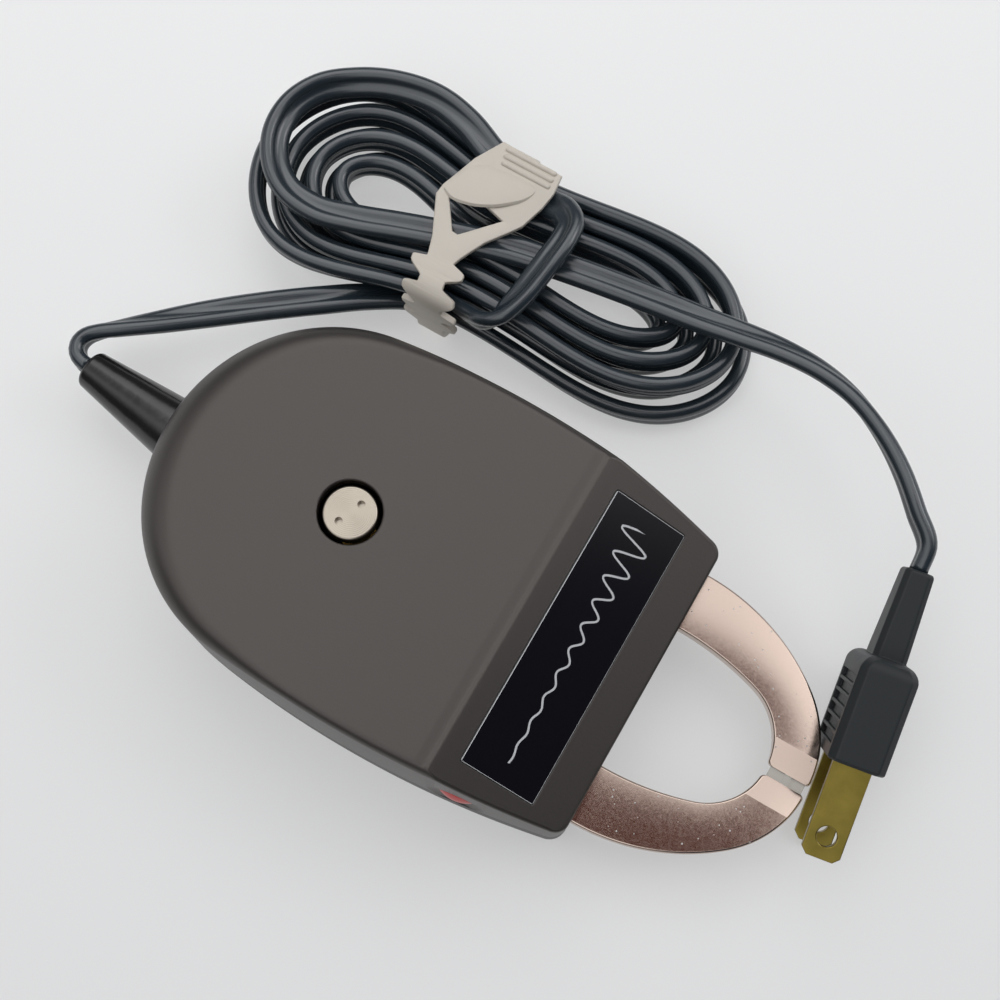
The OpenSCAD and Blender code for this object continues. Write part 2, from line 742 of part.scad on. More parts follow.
module coil_bobbin() {
    hole_w = yoke_w + 2 * core_gap;
    hole_h = yoke_h + 2 * core_gap;
    color([0.85, 0.83, 0.76]) {
        core_ring(hole_w, hole_h, core_tube_w, core_tube_h, -bobbin_len / 2, bobbin_len / 2);
        for (side = [-1, 1])
            core_ring(hole_w, hole_h, cheek_size, cheek_size,
                side * (bobbin_len - cheek_t) / 2 - cheek_t / 2,
                side * (bobbin_len - cheek_t) / 2 + cheek_t / 2);
    }
}

module coil_winding() {
    half = bobbin_len / 2 - cheek_t - winding_in;
    color([0.62, 0.3, 0.14])
        core_ring(core_tube_w + 2 * winding_in, core_tube_h + 2 * winding_in,
            core_tube_w + 2 * winding_t, core_tube_h + 2 * winding_t, -half, half);
}

module coil_wrap() {
    half = bobbin_len / 2 - cheek_t - winding_in;
    in = winding_t + winding_in;
    color([0.75, 0.62, 0.2])
        core_ring(core_tube_w + 2 * in, core_tube_h + 2 * in,
            core_tube_w + 2 * (in + wrap_t), core_tube_h + 2 * (in + wrap_t), -half, half);
}

// Push button and switch

module push_button() {
    color([0.75, 0.1, 0.08]) {
        along_button(button_d, -button_proud, flange_y + flange_t / 2);
        along_button(flange_d, flange_y, flange_y + flange_t);
        along_button(stem_d, flange_y + flange_t / 2, bridge_y);
        along_button(stem_pin_d, bridge_y - over, bridge_y + bridge_t + 0.4);
    }
}

module contact_bridge() {
    color([0.8, 0.62, 0.3]) difference() {
        at_button() translate([-bridge_w / 2, bridge_y, -bridge_h / 2]) cube([bridge_w, bridge_t, bridge_h]);
        along_button(stem_pin_d + 2 * press, bridge_y - over, bridge_y + bridge_t + over);
    }
}

// Coil spring round the stem, between the button's flange and the switch block
module button_spring() {
    rings = 16 * spring_turns + 1;
    coil_r = (spring_d - spring_wire) / 2;
    rise = spring_rest - spring_wire - 0.04;
    function coil_at(i) = [coil_r * cos(22.5 * i), coil_r * sin(22.5 * i), rise * i / (rings - 1)];
    points = flat([for (i = [0:rings - 1])
        round_ring(coil_at(i), unit(coil_at(i + 0.5) - coil_at(i - 0.5)), spring_wire, 6)]);
    color([0.7, 0.7, 0.72])
        at_button() translate([0, flange_y + flange_t + spring_wire / 2 + 0.02, 0]) rotate([-90, 0, 0])
            polyhedron(points, tube_faces(rings, 6));
}

// Open-topped block that holds the fixed contacts
module switch_block() {
    color([0.2, 0.14, 0.1]) difference() {
        at_button() translate([-block_w / 2, block_y, -block_h / 2]) cube([block_w, block_len, block_h]);
        at_button() translate([-block_w / 2 + block_wall, block_y + block_wall, -block_h / 2 + block_wall])
            cube([block_w - 2 * block_wall, block_len - 2 * block_wall, block_h]);
        along_button(stem_d + 2 * run, block_y - over, block_y + 2 * block_wall);
        for (side = [-1, 1])
            at_button() translate([side * contact_x, block_y + block_len / 2, 0]) rotate([-90, 0, 0])
                cylinder(d = contact_d + 2 * press, h = block_len);
    }
}

module switch_terminals() {
    color([0.82, 0.7, 0.4]) for (side = [-1, 1])
        at_button() translate([side * contact_x, contact_y, 0]) rotate([-90, 0, 0])
            cylinder(d = contact_d, h = tail_y - contact_y);
}

// Wiring inside the case

// A round wire swept along a route of points
module wire(route, d) {
    points = flat([for (i = [0:len(route) - 1]) round_ring(route[i], route_dir(route, i), d, 8)]);
    polyhedron(points, tube_faces(len(route), 8));
}

module mains_wires() {
    color([0.16, 0.16, 0.17]) {
        wire(supply_route, wire_d);
        wire(switch_route, wire_d);
    }
}

module coil_leads() {
    color([0.7, 0.12, 0.1]) {
        wire(lead_a_route, thin_wire_d);
        wire(lead_b_route, thin_wire_d);
    }
}

// Sleeve crimped over the joint of the supply wire and the coil lead
module crimp_sleeve() {
    color([0.75, 0.74, 0.72]) translate([sleeve_x0, sleeve_y, sleeve_z]) rotate([0, 90, 0])
        cylinder(d = 3.4, h = sleeve_len);
}

module cord_clamp() {
    color([0.3, 0.28, 0.27]) difference() {
        translate([clamp_x - clamp_size[0] / 2, -clamp_size[1] / 2, clamp_z]) cube(clamp_size);
        for (side = [-1, 1])
            translate([clamp_x, side * clamp_pitch / 2, clamp_z - over])
                cylinder(d = clamp_screw_d + 2 * clamp_clear, h = clamp_size[2] + 2 * over);
    }
}

module clamp_screws() {
    color([0.66, 0.66, 0.67]) for (side = [-1, 1]) translate([clamp_x, side * clamp_pitch / 2, clamp_z]) {
        translate([0, 0, clamp_size[2]]) cylinder(d = clamp_screw_head_d, h = clamp_screw_head_h);
        translate([0, 0, 0.3 - clamp_screw_len])
            cylinder(d = clamp_screw_d, h = clamp_screw_len + clamp_size[2]);
    }
}

// Strain relief, cord and plug

// Rubber taper moulded on the cord, with a neck and flange held by the rear wall
module strain_relief() {
    color([0.1, 0.1, 0.1]) {
        translate([x_rear, 0, part_z]) rotate([0, 0, -relief_lean]) rotate([0, -90, 0])
            rotate_extrude() difference() {
                polygon([[0, relief_gap], [relief_d / 2, relief_gap], [relief_tip_d / 2, relief_len],
                    [0, relief_len]]);
                translate([relief_tip_d / 2 - relief_tip_round, relief_len - relief_tip_round]) difference() {
                    square(2 * relief_tip_round);
                    circle(relief_tip_round);
                }
            }
        translate([x_rear - 1.5, 0, part_z]) rotate([0, 90, 0])
            cylinder(d = relief_neck_d, h = flange_x - x_rear + 1.5);
        translate([flange_x, 0, part_z]) rotate([0, 90, 0])
            cylinder(d = relief_flange_d, h = relief_flange_t);
    }
}

// The flat twin cord swept along a route of points with rolls
module flat_cord(route) {
    middle = column(route, 0);
    points = flat([for (i = [0:len(route) - 1])
        twin_ring(middle[i], route_dir(middle, i), route[i][1], 8)]);
    polyhedron(points, tube_faces(len(route), 8));
}

module cord_lead_in() {
    color([0.14, 0.16, 0.18]) flat_cord(lead_in_route);
}

module cord_lead_out() {
    color([0.14, 0.16, 0.18]) flat_cord(lead_out_route);
}

// The tied hank as one unbroken tube
module cord_hank() {
    rings = hank_turns * rings_per_loop + 1;
    points = flat([for (i = [0:rings - 1])
        let (t = i / rings_per_loop) twin_ring(hank_point(t), hank_dir(t), hank_roll(t), hank_sides)]);
    color([0.14, 0.16, 0.18]) polyhedron(points, tube_faces(rings, hank_sides));
}

// Corner points of a rounded rectangle
function round_rect(x0, y0, x1, y1, r) = [for (c = [0:3], k = [0:6])
    [(c == 0 || c == 3 ? x1 - r : x0 + r) + r * cos(90 * c + 15 * k),
     (c < 2 ? y1 - r : y0 + r) + r * sin(90 * c + 15 * k)]];

// Moulded strap round the hank's waist; its head lies on top, with a window
module cord_tie() {
    color([0.8, 0.77, 0.72]) difference() {
        union() {
            translate([tie_x - tie_w / 2, 0, 0]) rotate([90, 0, 90]) linear_extrude(tie_w) difference() {
                polygon(round_rect(tie_y0 - tie_t, tie_z0 - tie_t, tie_y1 + tie_t, tie_z1 + tie_t,
                    tie_round + tie_t));
                polygon(round_rect(tie_y0, tie_z0, tie_y1, tie_z1, tie_round));
            }
            translate([0, 0, tie_z1]) linear_extrude(tie_t)
                polygon([[-27.9, 49], [-32.2, 57.5], [-31, 61], [-27.4, 71], [-16.6, 70], [-16.4, 65.4],
                    [-17.6, 58.6], [-22.2, 49]]);
            for (side = [-1, 1], i = [0:1])
                translate([tie_x + side * tie_w / 2, tie_y0 + tie_round + tooth_pitch * i, tie_z1])
                    cylinder(d = tooth_d, h = tie_t, $fn = 24);
        }
        translate([0, 0, tie_z1 - over]) linear_extrude(tie_t + 2 * over)
            polygon([[-29.8, 57.2], [-20.4, 58.4], [-25.7, 52.4]]);
    }
}

// Straight two-blade plug body with a flat tapered neck
module plug_body() {
    color([0.2, 0.21, 0.21]) difference() {
        on_plug() {
            intersection() {
                rotate([90, 0, 0]) linear_extrude(plug_t, center = true)
                    polygon([[blade_len, -plug_h / 2], [plug_back - shoulder, -plug_h / 2],
                        [plug_back, shoulder - plug_h / 2], [plug_back, plug_h / 2 - shoulder],
                        [plug_back - shoulder, plug_h / 2], [blade_len, plug_h / 2]]);
                rotate([90, 0, 90]) linear_extrude(plug_back + over)
                    polygon([for (c = [0:3], k = [0, 1])
                        let (u = (c == 0 || c == 3 ? 1 : -1), v = (c < 2 ? 1 : -1), first = (c + k) % 2 == 0)
                        [u * (plug_t / 2 - (first ? 0 : edge_chamfer)),
                         v * (plug_h / 2 - (first ? edge_chamfer : 0))]]);
            }
            intersection() {
                rotate([90, 0, 0]) linear_extrude(plug_t, center = true)
                    polygon([[plug_back - over, -neck_h0 / 2], [plug_end, -neck_h1 / 2],
                        [plug_end, neck_h1 / 2], [plug_back - over, neck_h0 / 2]]);
                translate([0, 0, -plug_h / 2]) linear_extrude(plug_h)
                    polygon([[plug_back - over, -neck_w0 / 2], [plug_end, -neck_w1 / 2],
                        [plug_end, neck_w1 / 2], [plug_back - over, neck_w0 / 2]]);
            }
        }
        on_plug() for (side = [-1, 1])
            translate([blade_len - over, -blade_w / 2 - slot_gap,
                side * blade_pitch / 2 - blade_t / 2 - slot_gap])
                cube([blade_in + over, blade_w + 2 * slot_gap, blade_t + 2 * slot_gap]);
    }
}

module plug_blades() {
    color([0.72, 0.62, 0.3]) on_plug() for (side = [-1, 1])
        translate([0, 0, side * blade_pitch / 2 - blade_t / 2]) linear_extrude(blade_t) difference() {
            polygon([[0, blade_chamfer - blade_w / 2], [blade_chamfer, -blade_w / 2],
                [blade_len + blade_in, -blade_w / 2], [blade_len + blade_in, blade_w / 2],
                [blade_chamfer, blade_w / 2], [0, blade_w / 2 - blade_chamfer]]);
            translate([blade_hole_x, 0]) circle(d = blade_hole_d, $fn = 48);
        }
}

lower_shell();
upper_shell();
case_screw();
screw_insert();
label_plate();
pole_arm_left();
pole_arm_right();
gap_spacer();
core_laminations();
pole_screws();
coil_bobbin();
coil_winding();
coil_wrap();
push_button();
contact_bridge();
button_spring();
switch_block();
switch_terminals();
mains_wires();
coil_leads();
crimp_sleeve();
cord_clamp();
clamp_screws();
strain_relief();
cord_lead_in();
cord_hank();
cord_lead_out();
cord_tie();
plug_body();
plug_blades();
echo(hank_gap = hank_gap);
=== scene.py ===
import math

import bmesh
import bpy
import numpy as np
from mathutils import Matrix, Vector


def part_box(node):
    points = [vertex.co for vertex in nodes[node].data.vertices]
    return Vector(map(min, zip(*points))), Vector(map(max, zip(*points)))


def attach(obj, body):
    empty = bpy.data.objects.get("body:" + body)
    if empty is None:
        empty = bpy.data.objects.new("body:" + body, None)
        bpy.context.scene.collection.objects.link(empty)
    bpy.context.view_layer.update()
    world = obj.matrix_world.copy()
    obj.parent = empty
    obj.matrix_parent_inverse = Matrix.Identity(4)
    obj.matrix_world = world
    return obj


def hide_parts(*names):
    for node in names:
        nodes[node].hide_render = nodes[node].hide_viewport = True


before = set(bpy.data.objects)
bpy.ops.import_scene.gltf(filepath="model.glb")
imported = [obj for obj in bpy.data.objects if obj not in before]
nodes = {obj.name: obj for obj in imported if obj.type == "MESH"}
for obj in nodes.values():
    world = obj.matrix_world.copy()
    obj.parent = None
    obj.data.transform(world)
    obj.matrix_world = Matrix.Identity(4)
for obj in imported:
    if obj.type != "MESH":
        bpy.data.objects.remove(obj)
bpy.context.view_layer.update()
scene = bpy.context.scene
mm = 0.001

# Camera: hand height above the table, looking almost straight down, turned so that
# the case lies from the upper left to the lower right of the picture.
camera_at = np.array([38.25, -39.69, 281.44])
camera_right = np.array([0.8647, 0.5023, -0.0071])
camera_back = np.array([0.1262, -0.2037, 0.9709])
camera_lens = 59.88


def look(right, back, at):
    """Placement of a camera or lamp at a point in metres, from its rightward and backward axes."""
    axes = np.eye(4)
    axes[:3] = np.stack([right, np.cross(back, right), back, at], -1)
    return Matrix(axes.tolist())


camera = bpy.data.objects.new("camera", bpy.data.cameras.new("camera"))
camera.data.lens = camera_lens
camera.data.sensor_width = 36
camera.data.clip_start = 0.01
camera.data.clip_end = 20
camera.matrix_world = look(camera_right, camera_back, camera_at * mm)
scene.collection.objects.link(camera)
scene.camera = camera
scene.view_settings.view_transform = "Standard"


# Table and light: a pale painted board that glows a little, under a bright ceiling between dark
# walls, with two bright windows low at the sides and a soft lamp. The ceiling is dark where the
# camera is held, and dark in one place before the label panel.
def linear(red, green, blue):
    """A colour from 0 to 255 as seen on a screen, turned into linear light."""
    c = np.array([red, green, blue]) / 255
    low = c / 12.92
    high = ((c + 0.055) / 1.055) ** 2.4
    return (*np.where(c <= 0.04045, low, high).tolist(), 1.0)


def new_material(name):
    """A material with its Principled shader and its node tree."""
    material = bpy.data.materials.new(name)
    material.use_nodes = True
    tree = material.node_tree
    return material, tree.nodes["Principled BSDF"], tree


def feed(tree, value, socket):
    """Links a socket to another one, or gives it a plain value."""
    if isinstance(value, bpy.types.NodeSocket):
        tree.links.new(value, socket)
    else:
        socket.default_value = value


def mixed(tree, share, first, second, blend="MIX"):
    """Blend of two colours by a share. Each of the three is a socket or a plain value."""
    mix = tree.nodes.new("ShaderNodeMix")
    mix.data_type = "RGBA"
    mix.blend_type = blend
    for k, value in ((0, share), (6, first), (7, second)):
        feed(tree, value, mix.inputs[k])
    return mix.outputs[2]


def ramp(tree, place, direction, ends, values, kind="LINEAR"):
    """A number that runs from one value to another as a place moves along a direction: the dot
    product of the two, mapped from its two ends to the two values."""
    reach = tree.nodes.new("ShaderNodeVectorMath")
    reach.operation = "DOT_PRODUCT"
    reach.inputs[1].default_value = direction
    tree.links.new(place, reach.inputs[0])
    mapped = tree.nodes.new("ShaderNodeMapRange")
    mapped.interpolation_type = kind
    tree.links.new(reach.outputs["Value"], mapped.inputs["Value"])
    for name, value in zip(("From Min", "From Max", "To Min", "To Max"), (*ends, *values)):
        mapped.inputs[name].default_value = value
    return mapped.outputs["Result"]


def put_mesh(name, points, faces, smooth=True):
    """A new object from points in millimetres and faces given as rows of point numbers. The faces
    of a closed form are turned outward."""
    mesh = bpy.data.meshes.new(name)
    mesh.from_pydata((np.asarray(points, float).reshape(-1, 3) * mm).tolist(), [], faces)
    mesh.validate()
    form = bmesh.new()
    form.from_mesh(mesh)
    bmesh.ops.recalc_face_normals(form, faces=form.faces)
    form.to_mesh(mesh)
    form.free()
    mesh.polygons.foreach_set("use_smooth", np.full(len(mesh.polygons), smooth))
    piece = bpy.data.objects.new(name, mesh)
    scene.collection.objects.link(piece)
    return piece


def unit_vector(v):
    """One vector brought to length 1, as plain numbers."""
    return (np.array(v, float) / np.linalg.norm(v)).tolist()


table_half = 3000
table_top = -0.05
table_corners = [[-1, -1], [1, -1], [1, 1], [-1, 1]]
table = put_mesh("table", [[x * table_half, y * table_half, table_top] for x, y in table_corners],
                 [[0, 1, 2, 3]])
table_paint, shader, table_tree = new_material("table_paint")
table_place = table_tree.nodes.new("ShaderNodeTexCoord").outputs["Object"]
# The board's glow is painted light: it lifts the shade round the object and grows brighter towards -X and
# +Y, as a lamp's fall-off would make it.
table_painted_light = ramp(table_tree, table_place, (-0.5, 0.84, 0.0), (-0.09, 0.11), (0.345, 0.465))
table_tree.links.new(table_painted_light, shader.inputs["Emission Color"])
shader.inputs["Base Color"].default_value = linear(174, 175, 175)
shader.inputs["Emission Strength"].default_value = 1
shader.inputs["Roughness"].default_value = 0.5
shader.inputs["Specular IOR Level"].default_value = 0.2
table.data.materials.append(table_paint)

world = bpy.data.worlds.new("room")
scene.world = world
world.use_nodes = True
room = world.node_tree
room_light = room.nodes["Background"]
room_light.inputs["Strength"].default_value = 1
sky_place = room.nodes.new("ShaderNodeTexCoord").outputs["Generated"]
room_tint = (0.11, 0.11, 0.114, 1)
# Each patch is a direction, the angles from it where it is full and where it ends, and a factor
room_patches = [
    ((0, 0, 1), 36, 66, (11.2, 11.2, 11.0)), ((0.07, 0.02, 1.0), 8.4, 9.2, (0.07, 0.012, 0.004)),
    ((0.68, -0.24, 0.69), 25, 35, (0.04, 0.04, 0.05)), ((-0.30, 0.17, 0.94), 5, 20, (1.5, 1.5, 1.5)),
    ((0.26, 0.28, 0.92), 6, 16, (1.4, 1.4, 1.4)), ((-0.93, -0.10, 0.35), 12, 30, (6, 6, 6)),
    ((0.60, 0.70, 0.35), 12, 30, (6, 6, 6)), ((-0.80, 0.05, 0.60), 14, 26, (0.3, 0.3, 0.3))]
for patch_dir, full_turn, end_turn, shade in room_patches:
    ends = [math.cos(math.radians(turn)) for turn in (end_turn, full_turn)]
    share = ramp(room, sky_place, unit_vector(patch_dir), ends, (0, 1), "SMOOTHSTEP")
    room_tint = mixed(room, share, room_tint, (*shade, 1), "MULTIPLY")
seen = room.nodes.new("ShaderNodeLightPath").outputs["Is Camera Ray"]
backdrop = mixed(room, seen, room_tint, linear(232, 233, 233))
room.links.new(backdrop, room_light.inputs["Color"])

lamp = bpy.data.objects.new("soft_lamp", bpy.data.lights.new("soft_lamp", "AREA"))
lamp.data.shape = "RECTANGLE"
lamp.data.size = 0.9
lamp.data.size_y = 0.6
lamp.data.energy = 1.5
lamp_at = np.array([-0.5, 0.8, 0.9])
lamp_back = lamp_at / np.linalg.norm(lamp_at)
lamp_right = np.cross([0, 0, 1], lamp_back)
lamp.matrix_world = look(lamp_right / np.linalg.norm(lamp_right), lamp_back, lamp_at)
scene.collection.objects.link(lamp)


# Mains cord: one length of flat twin cord, two copper strands side by side in soft
# grey PVC with a groove between them. It runs from the strain relief into a tied
# hank, folds back over it, makes one large loop and ends in the plug.
cord_w = 5.3
cord_t = 2.7
shell_low, shell_high = [np.array(v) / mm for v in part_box("lower_shell")]
x_rear, x_front = shell_low[0], shell_high[0]
part_z = 10
relief_len = 21
relief_lean = math.radians(6)
plug_tip = np.array([75.7, -7, 7])
plug_yaw = math.radians(99.3)
plug_pitch = math.radians(14)
plug_axis = np.array([math.cos(plug_yaw) * math.cos(plug_pitch),
                      math.sin(plug_yaw) * math.cos(plug_pitch), math.sin(plug_pitch)])
blade_len = 15.6
plug_len = 17.5
neck_len = 14.9
plug_end = blade_len + plug_len + neck_len


def relief_point(along):
    """A point on the strain relief's leaning axis, at a distance from the rear wall."""
    return [x_rear - along * math.cos(relief_lean), along * math.sin(relief_lean), part_z]


# Each route point is x, y, z and the roll of the cord's width from upright, in degrees
lead_in_route = np.array([
    [*relief_point(relief_len), 0], [*relief_point(relief_len + 1.6), 0], [-72.4, 2.9, 10, 0],
    [-73.4, 4, 10, 4], [-73.7, 5.4, 10, 8], [-73.3, 6.8, 10, 12], [-72, 8.4, 10, 18],
    [-69, 11, 10, 30], [-64, 15.2, 9.9, 52], [-57.5, 20.8, 9.5, 76], [-50, 27, 9, 88],
    [-42.5, 33, 8, 86], [-35.5, 38.4, 6.6, 70], [-30, 41.6, 5.2, 44], [-26, 42.8, 4.4, 26]])
lead_out_route = np.array([
    [-18.2, 42.7, 11.9, 14], [-15.2, 42.2, 14, 10], [-12.6, 43.4, 16.4, 32], [-11, 47.2, 17.7, 52],
    [-10.2, 51.8, 18.3, 60], [-9.7, 56, 18.7, 60], [-9.4, 60.2, 18.6, 58], [-10, 63.4, 17.8, 60],
    [-12.2, 65.4, 16.4, 74], [-15.4, 66, 15.1, 88], [-19.6, 66.4, 15, 90], [-24, 67.6, 15, 90],
    [-29, 69.4, 15, 86], [-35.2, 72, 15, 72], [-42, 73.3, 15, 60], [-49.4, 72.2, 15, 54],
    [-56.4, 69.2, 14.6, 50], [-61.4, 65, 14.6, 50], [-63.8, 59.8, 14.6, 50], [-63.6, 54.2, 14.6, 52],
    [-61, 49.4, 14.6, 58], [-56.4, 46, 14.6, 68], [-50.2, 45.2, 14.6, 80], [-43.5, 46.8, 14.8, 88],
    [-36, 49.4, 15, 90], [-29, 51.8, 15, 90], [-22, 54, 15, 90], [-15.6, 55.8, 14.7, 90],
    [-8.5, 57.2, 14.4, 90], [-1, 58.4, 14.4, 88], [7.8, 59.6, 14.4, 84], [16.6, 60.5, 14.8, 76],
    [24.4, 61.3, 15.7, 66], [31.6, 61.8, 16.8, 52], [38.8, 61.4, 18, 38], [45.2, 59.8, 19.1, 26],
    [52.2, 56.2, 20.1, 14], [58.4, 51.6, 20.6, 6], [63.4, 46.8, 20.5, 2],
    [*(plug_tip + plug_axis * (plug_end + 4)), 0], [*(plug_tip + plug_axis * plug_end), 0]])
hank_middle = np.array([-21.6, 57.0, 2.75])
layer_turns = 3.5
reach_right, step_right = 31, 5.3
reach_left, step_left = 28, 4.9
lobe_right, step_lobe_right = 6.5, 5.1
lobe_left, step_lobe_left = 8.5, 6
waist_in, step_waist = 1.9, 3.35
lobe_sway = 2
layer_rise = 6.4
waist_lift = 1.4
hank_lean = 18
samples_per_turn = 48


def hank(turn):
    """Middle of the cord in the hank after so many turns, and its roll. The loops spiral in
    on the lower layer and out on the upper one. A loop is an ellipse whose half height gives
    way to a narrow waist in its middle, by the fourth power of the sine."""
    angle = 2 * np.pi * turn - np.pi / 2
    c, s = np.cos(angle), np.sin(angle)
    out = np.abs(turn - layer_turns)
    rising = np.clip((turn - layer_turns + 0.25) / 0.5, 0, 1)
    waist = s ** 4
    reach = np.where(c > 0, reach_right + step_right * out, reach_left + step_left * out)
    lobe = np.where(c > 0, lobe_right + step_lobe_right * out, lobe_left + step_lobe_left * out)
    neck = waist_in * (1 - np.maximum(0, 1 - 2 * out) ** 2) + step_waist * out
    x = hank_middle[0] + reach * c
    y = hank_middle[1] + lobe_sway * c + s * (lobe * (1 - waist) + neck * waist)
    z = hank_middle[2] + layer_rise * rising ** 2 * (3 - 2 * rising) + waist_lift * waist
    return np.stack([x, y, z, hank_lean * np.abs(s) ** 3], -1)


def through(points, spacing):
    """A smooth curve through rows of numbers: a cubic Hermite between each pair, whose slope
    at a point is the chord-weighted mean of the steps on either side, sampled evenly in x, y, z."""
    chord = np.sqrt(((points[1:, :3] - points[:-1, :3]) ** 2).sum(1))
    along = np.concatenate([[0], np.cumsum(chord)])
    step = (points[1:] - points[:-1]) / chord[:, None]
    before, after = chord[:-1, None], chord[1:, None]
    inner = (step[:-1] * after + step[1:] * before) / (before + after)
    slope = np.concatenate([step[:1], inner, step[-1:]])
    where = np.linspace(0, along[-1], int(along[-1] / spacing) + 1)
    k = np.clip(np.searchsorted(along, where, side="right") - 1, 0, len(chord) - 1)
    size = chord[k][:, None]
    t = ((where - along[k]) / chord[k])[:, None]
    return (points[k] * (1 + 2 * t) * (1 - t) ** 2 + slope[k] * size * t * (1 - t) ** 2
            + points[k + 1] * t ** 2 * (3 - 2 * t) + slope[k + 1] * size * t ** 2 * (t - 1))


def unit(v):
    """Rows of vectors brought to length 1."""
    return v / np.linalg.norm(v, axis=-1, keepdims=True)


def lengths(line):
    """Distance of each point of a line from its start, added up from step to step."""
    return np.concatenate([[0], np.cumsum(np.sqrt((np.diff(line, axis=0) ** 2).sum(1)))])


def grid_faces(rows, columns, endless=False):
    """Quads between the rows of a grid whose columns join up in a ring. Endless rows do so too."""
    r, c = np.meshgrid(np.arange(rows if endless else rows - 1), np.arange(columns), indexing="ij")
    below, beside = (r + 1) % rows * columns, (c + 1) % columns
    quads = np.stack([r * columns + c, r * columns + beside, below + beside, below + c], -1)
    return quads.reshape(-1, 4).tolist()


def sweep(middle, across, upward, section):
    """A closed section of (across, upward) offsets carried along a line of middles: the rings."""
    return (middle[:, None] + section[None, :, :1] * across[:, None]
            + section[None, :, 1:] * upward[:, None])


def solid(name, ring_sets, endless_sets=()):
    """One mesh of several closed tubes, each from its own rings of points: quads between the rings
    and a flat face on each end. Endless ones have no end faces."""
    points, faces, first = [], [], 0
    for k, rings in enumerate([*ring_sets, *endless_sets]):
        count, sides = rings.shape[:2]
        endless = k >= len(ring_sets)
        start = np.arange(sides) + first
        faces += (np.array(grid_faces(count, sides, endless)) + first).tolist()
        if not endless:
            faces += [start[::-1].tolist(), (start + (count - 1) * sides).tolist()]
        points.append(rings.reshape(-1, 3))
        first += count * sides
    return put_mesh(name, np.concatenate(points), faces)


def tube(name, rings):
    """One closed tube from its rings."""
    return solid(name, [rings])


def twin_section():
    """Outline of the twin cord: two round strands side by side, joined by a web that is thinner
    than they are, so that a groove runs along the middle of both flat sides."""
    strand = cord_t / 2
    turn = np.radians(np.linspace(-118, 118, 12))
    apart = (cord_w - cord_t) / 2
    right = np.stack([apart + strand * np.cos(turn), strand * np.sin(turn)], -1)
    groove = np.array([[0.0, 0.62 * strand]])
    return np.concatenate([right, groove, -right, -groove])


def arithmetic(tree, operation, *values):
    """One step of arithmetic in a node tree, from sockets or plain numbers."""
    step = tree.nodes.new("ShaderNodeMath")
    step.operation = operation
    for value, socket in zip(values, step.inputs):
        feed(tree, value, socket)
    return step.outputs[0]


def surface_grain():
    """A shared shader group. A noise at the given scale makes the colour lighter and darker by
    the spread, shifts the roughness a little and gives a bump of the given depth. Dust adds small
    pale specks, one in some of the cells of a cell noise."""
    group = bpy.data.node_groups.new("surface_grain", "ShaderNodeTree")
    new_socket = group.interface.new_socket
    new_socket("Color", in_out="INPUT", socket_type="NodeSocketColor")
    for name in ("Spread", "Rough", "Scale", "Depth", "Dust", "Cells", "Speck"):
        new_socket(name, in_out="INPUT", socket_type="NodeSocketFloat")
    for name, kind in (("Color", "Color"), ("Roughness", "Float"), ("Normal", "Vector")):
        new_socket(name, in_out="OUTPUT", socket_type="NodeSocket" + kind)
    add = group.nodes.new
    given, result = add("NodeGroupInput").outputs, add("NodeGroupOutput").inputs
    noise_to_rough, speck_to_rough, dust_colour = 0.12, 0.35, (0.5, 0.48, 0.45, 1)
    place = add("ShaderNodeTexCoord").outputs["Object"]
    noise, cells = add("ShaderNodeTexNoise"), add("ShaderNodeTexVoronoi")
    noise.inputs["Detail"].default_value = 4
    tinted = add("ShaderNodeVectorMath")
    tinted.operation = "SCALE"
    bump = add("ShaderNodeBump")
    bump.inputs["Strength"].default_value = 1
    swing = arithmetic(group, "SUBTRACT", noise.outputs["Fac"], 0.5)
    shade = arithmetic(group, "MULTIPLY_ADD", swing, given["Spread"], 1)
    small = arithmetic(group, "LESS_THAN", cells.outputs["Distance"], given["Speck"])
    picked = arithmetic(group, "LESS_THAN", cells.outputs["Color"], given["Dust"])
    speck = arithmetic(group, "MULTIPLY", small, picked)
    matt = arithmetic(group, "MULTIPLY_ADD", swing, noise_to_rough, given["Rough"])
    for value, socket in (
            (place, noise.inputs["Vector"]), (given["Scale"], noise.inputs["Scale"]),
            (place, cells.inputs["Vector"]), (given["Cells"], cells.inputs["Scale"]),
            (given["Color"], tinted.inputs[0]), (shade, tinted.inputs["Scale"]),
            (noise.outputs["Fac"], bump.inputs["Height"]), (given["Depth"], bump.inputs["Distance"]),
            (mixed(group, speck, tinted.outputs[0], dust_colour), result["Color"]),
            (arithmetic(group, "MULTIPLY_ADD", speck, speck_to_rough, matt), result["Roughness"]),
            (bump.outputs["Normal"], result["Normal"])):
        group.links.new(value, socket)
    return group


grain_group = surface_grain()


def grained(name, colour, spread, rough, scale, depth, dust=0, metallic=0, cells=260, speck=0.06,
            gloss=0.5):
    """A material whose colour, roughness and bump come from the shared grain group."""
    material, shader, tree = new_material(name)
    grain = tree.nodes.new("ShaderNodeGroup")
    grain.node_tree = grain_group
    for socket, value in (("Color", linear(*colour)), ("Spread", spread), ("Rough", rough), ("Scale", scale),
                          ("Depth", depth), ("Dust", dust), ("Cells", cells), ("Speck", speck)):
        grain.inputs[socket].default_value = value
    for output, socket in (("Color", "Base Color"), ("Roughness", "Roughness"), ("Normal", "Normal")):
        tree.links.new(grain.outputs[output], shader.inputs[socket])
    shader.inputs["Metallic"].default_value = metallic
    shader.inputs["Specular IOR Level"].default_value = gloss
    return material


def place(piece, material, slot, body, *replaced):
    """Gives a new piece its material, the body it moves with and the nodes it stands for. The slot is not
    used.
    """
    piece.data.materials.clear()
    piece.data.materials.append(material)
    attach(piece, body)
    if replaced:
        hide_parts(*replaced)


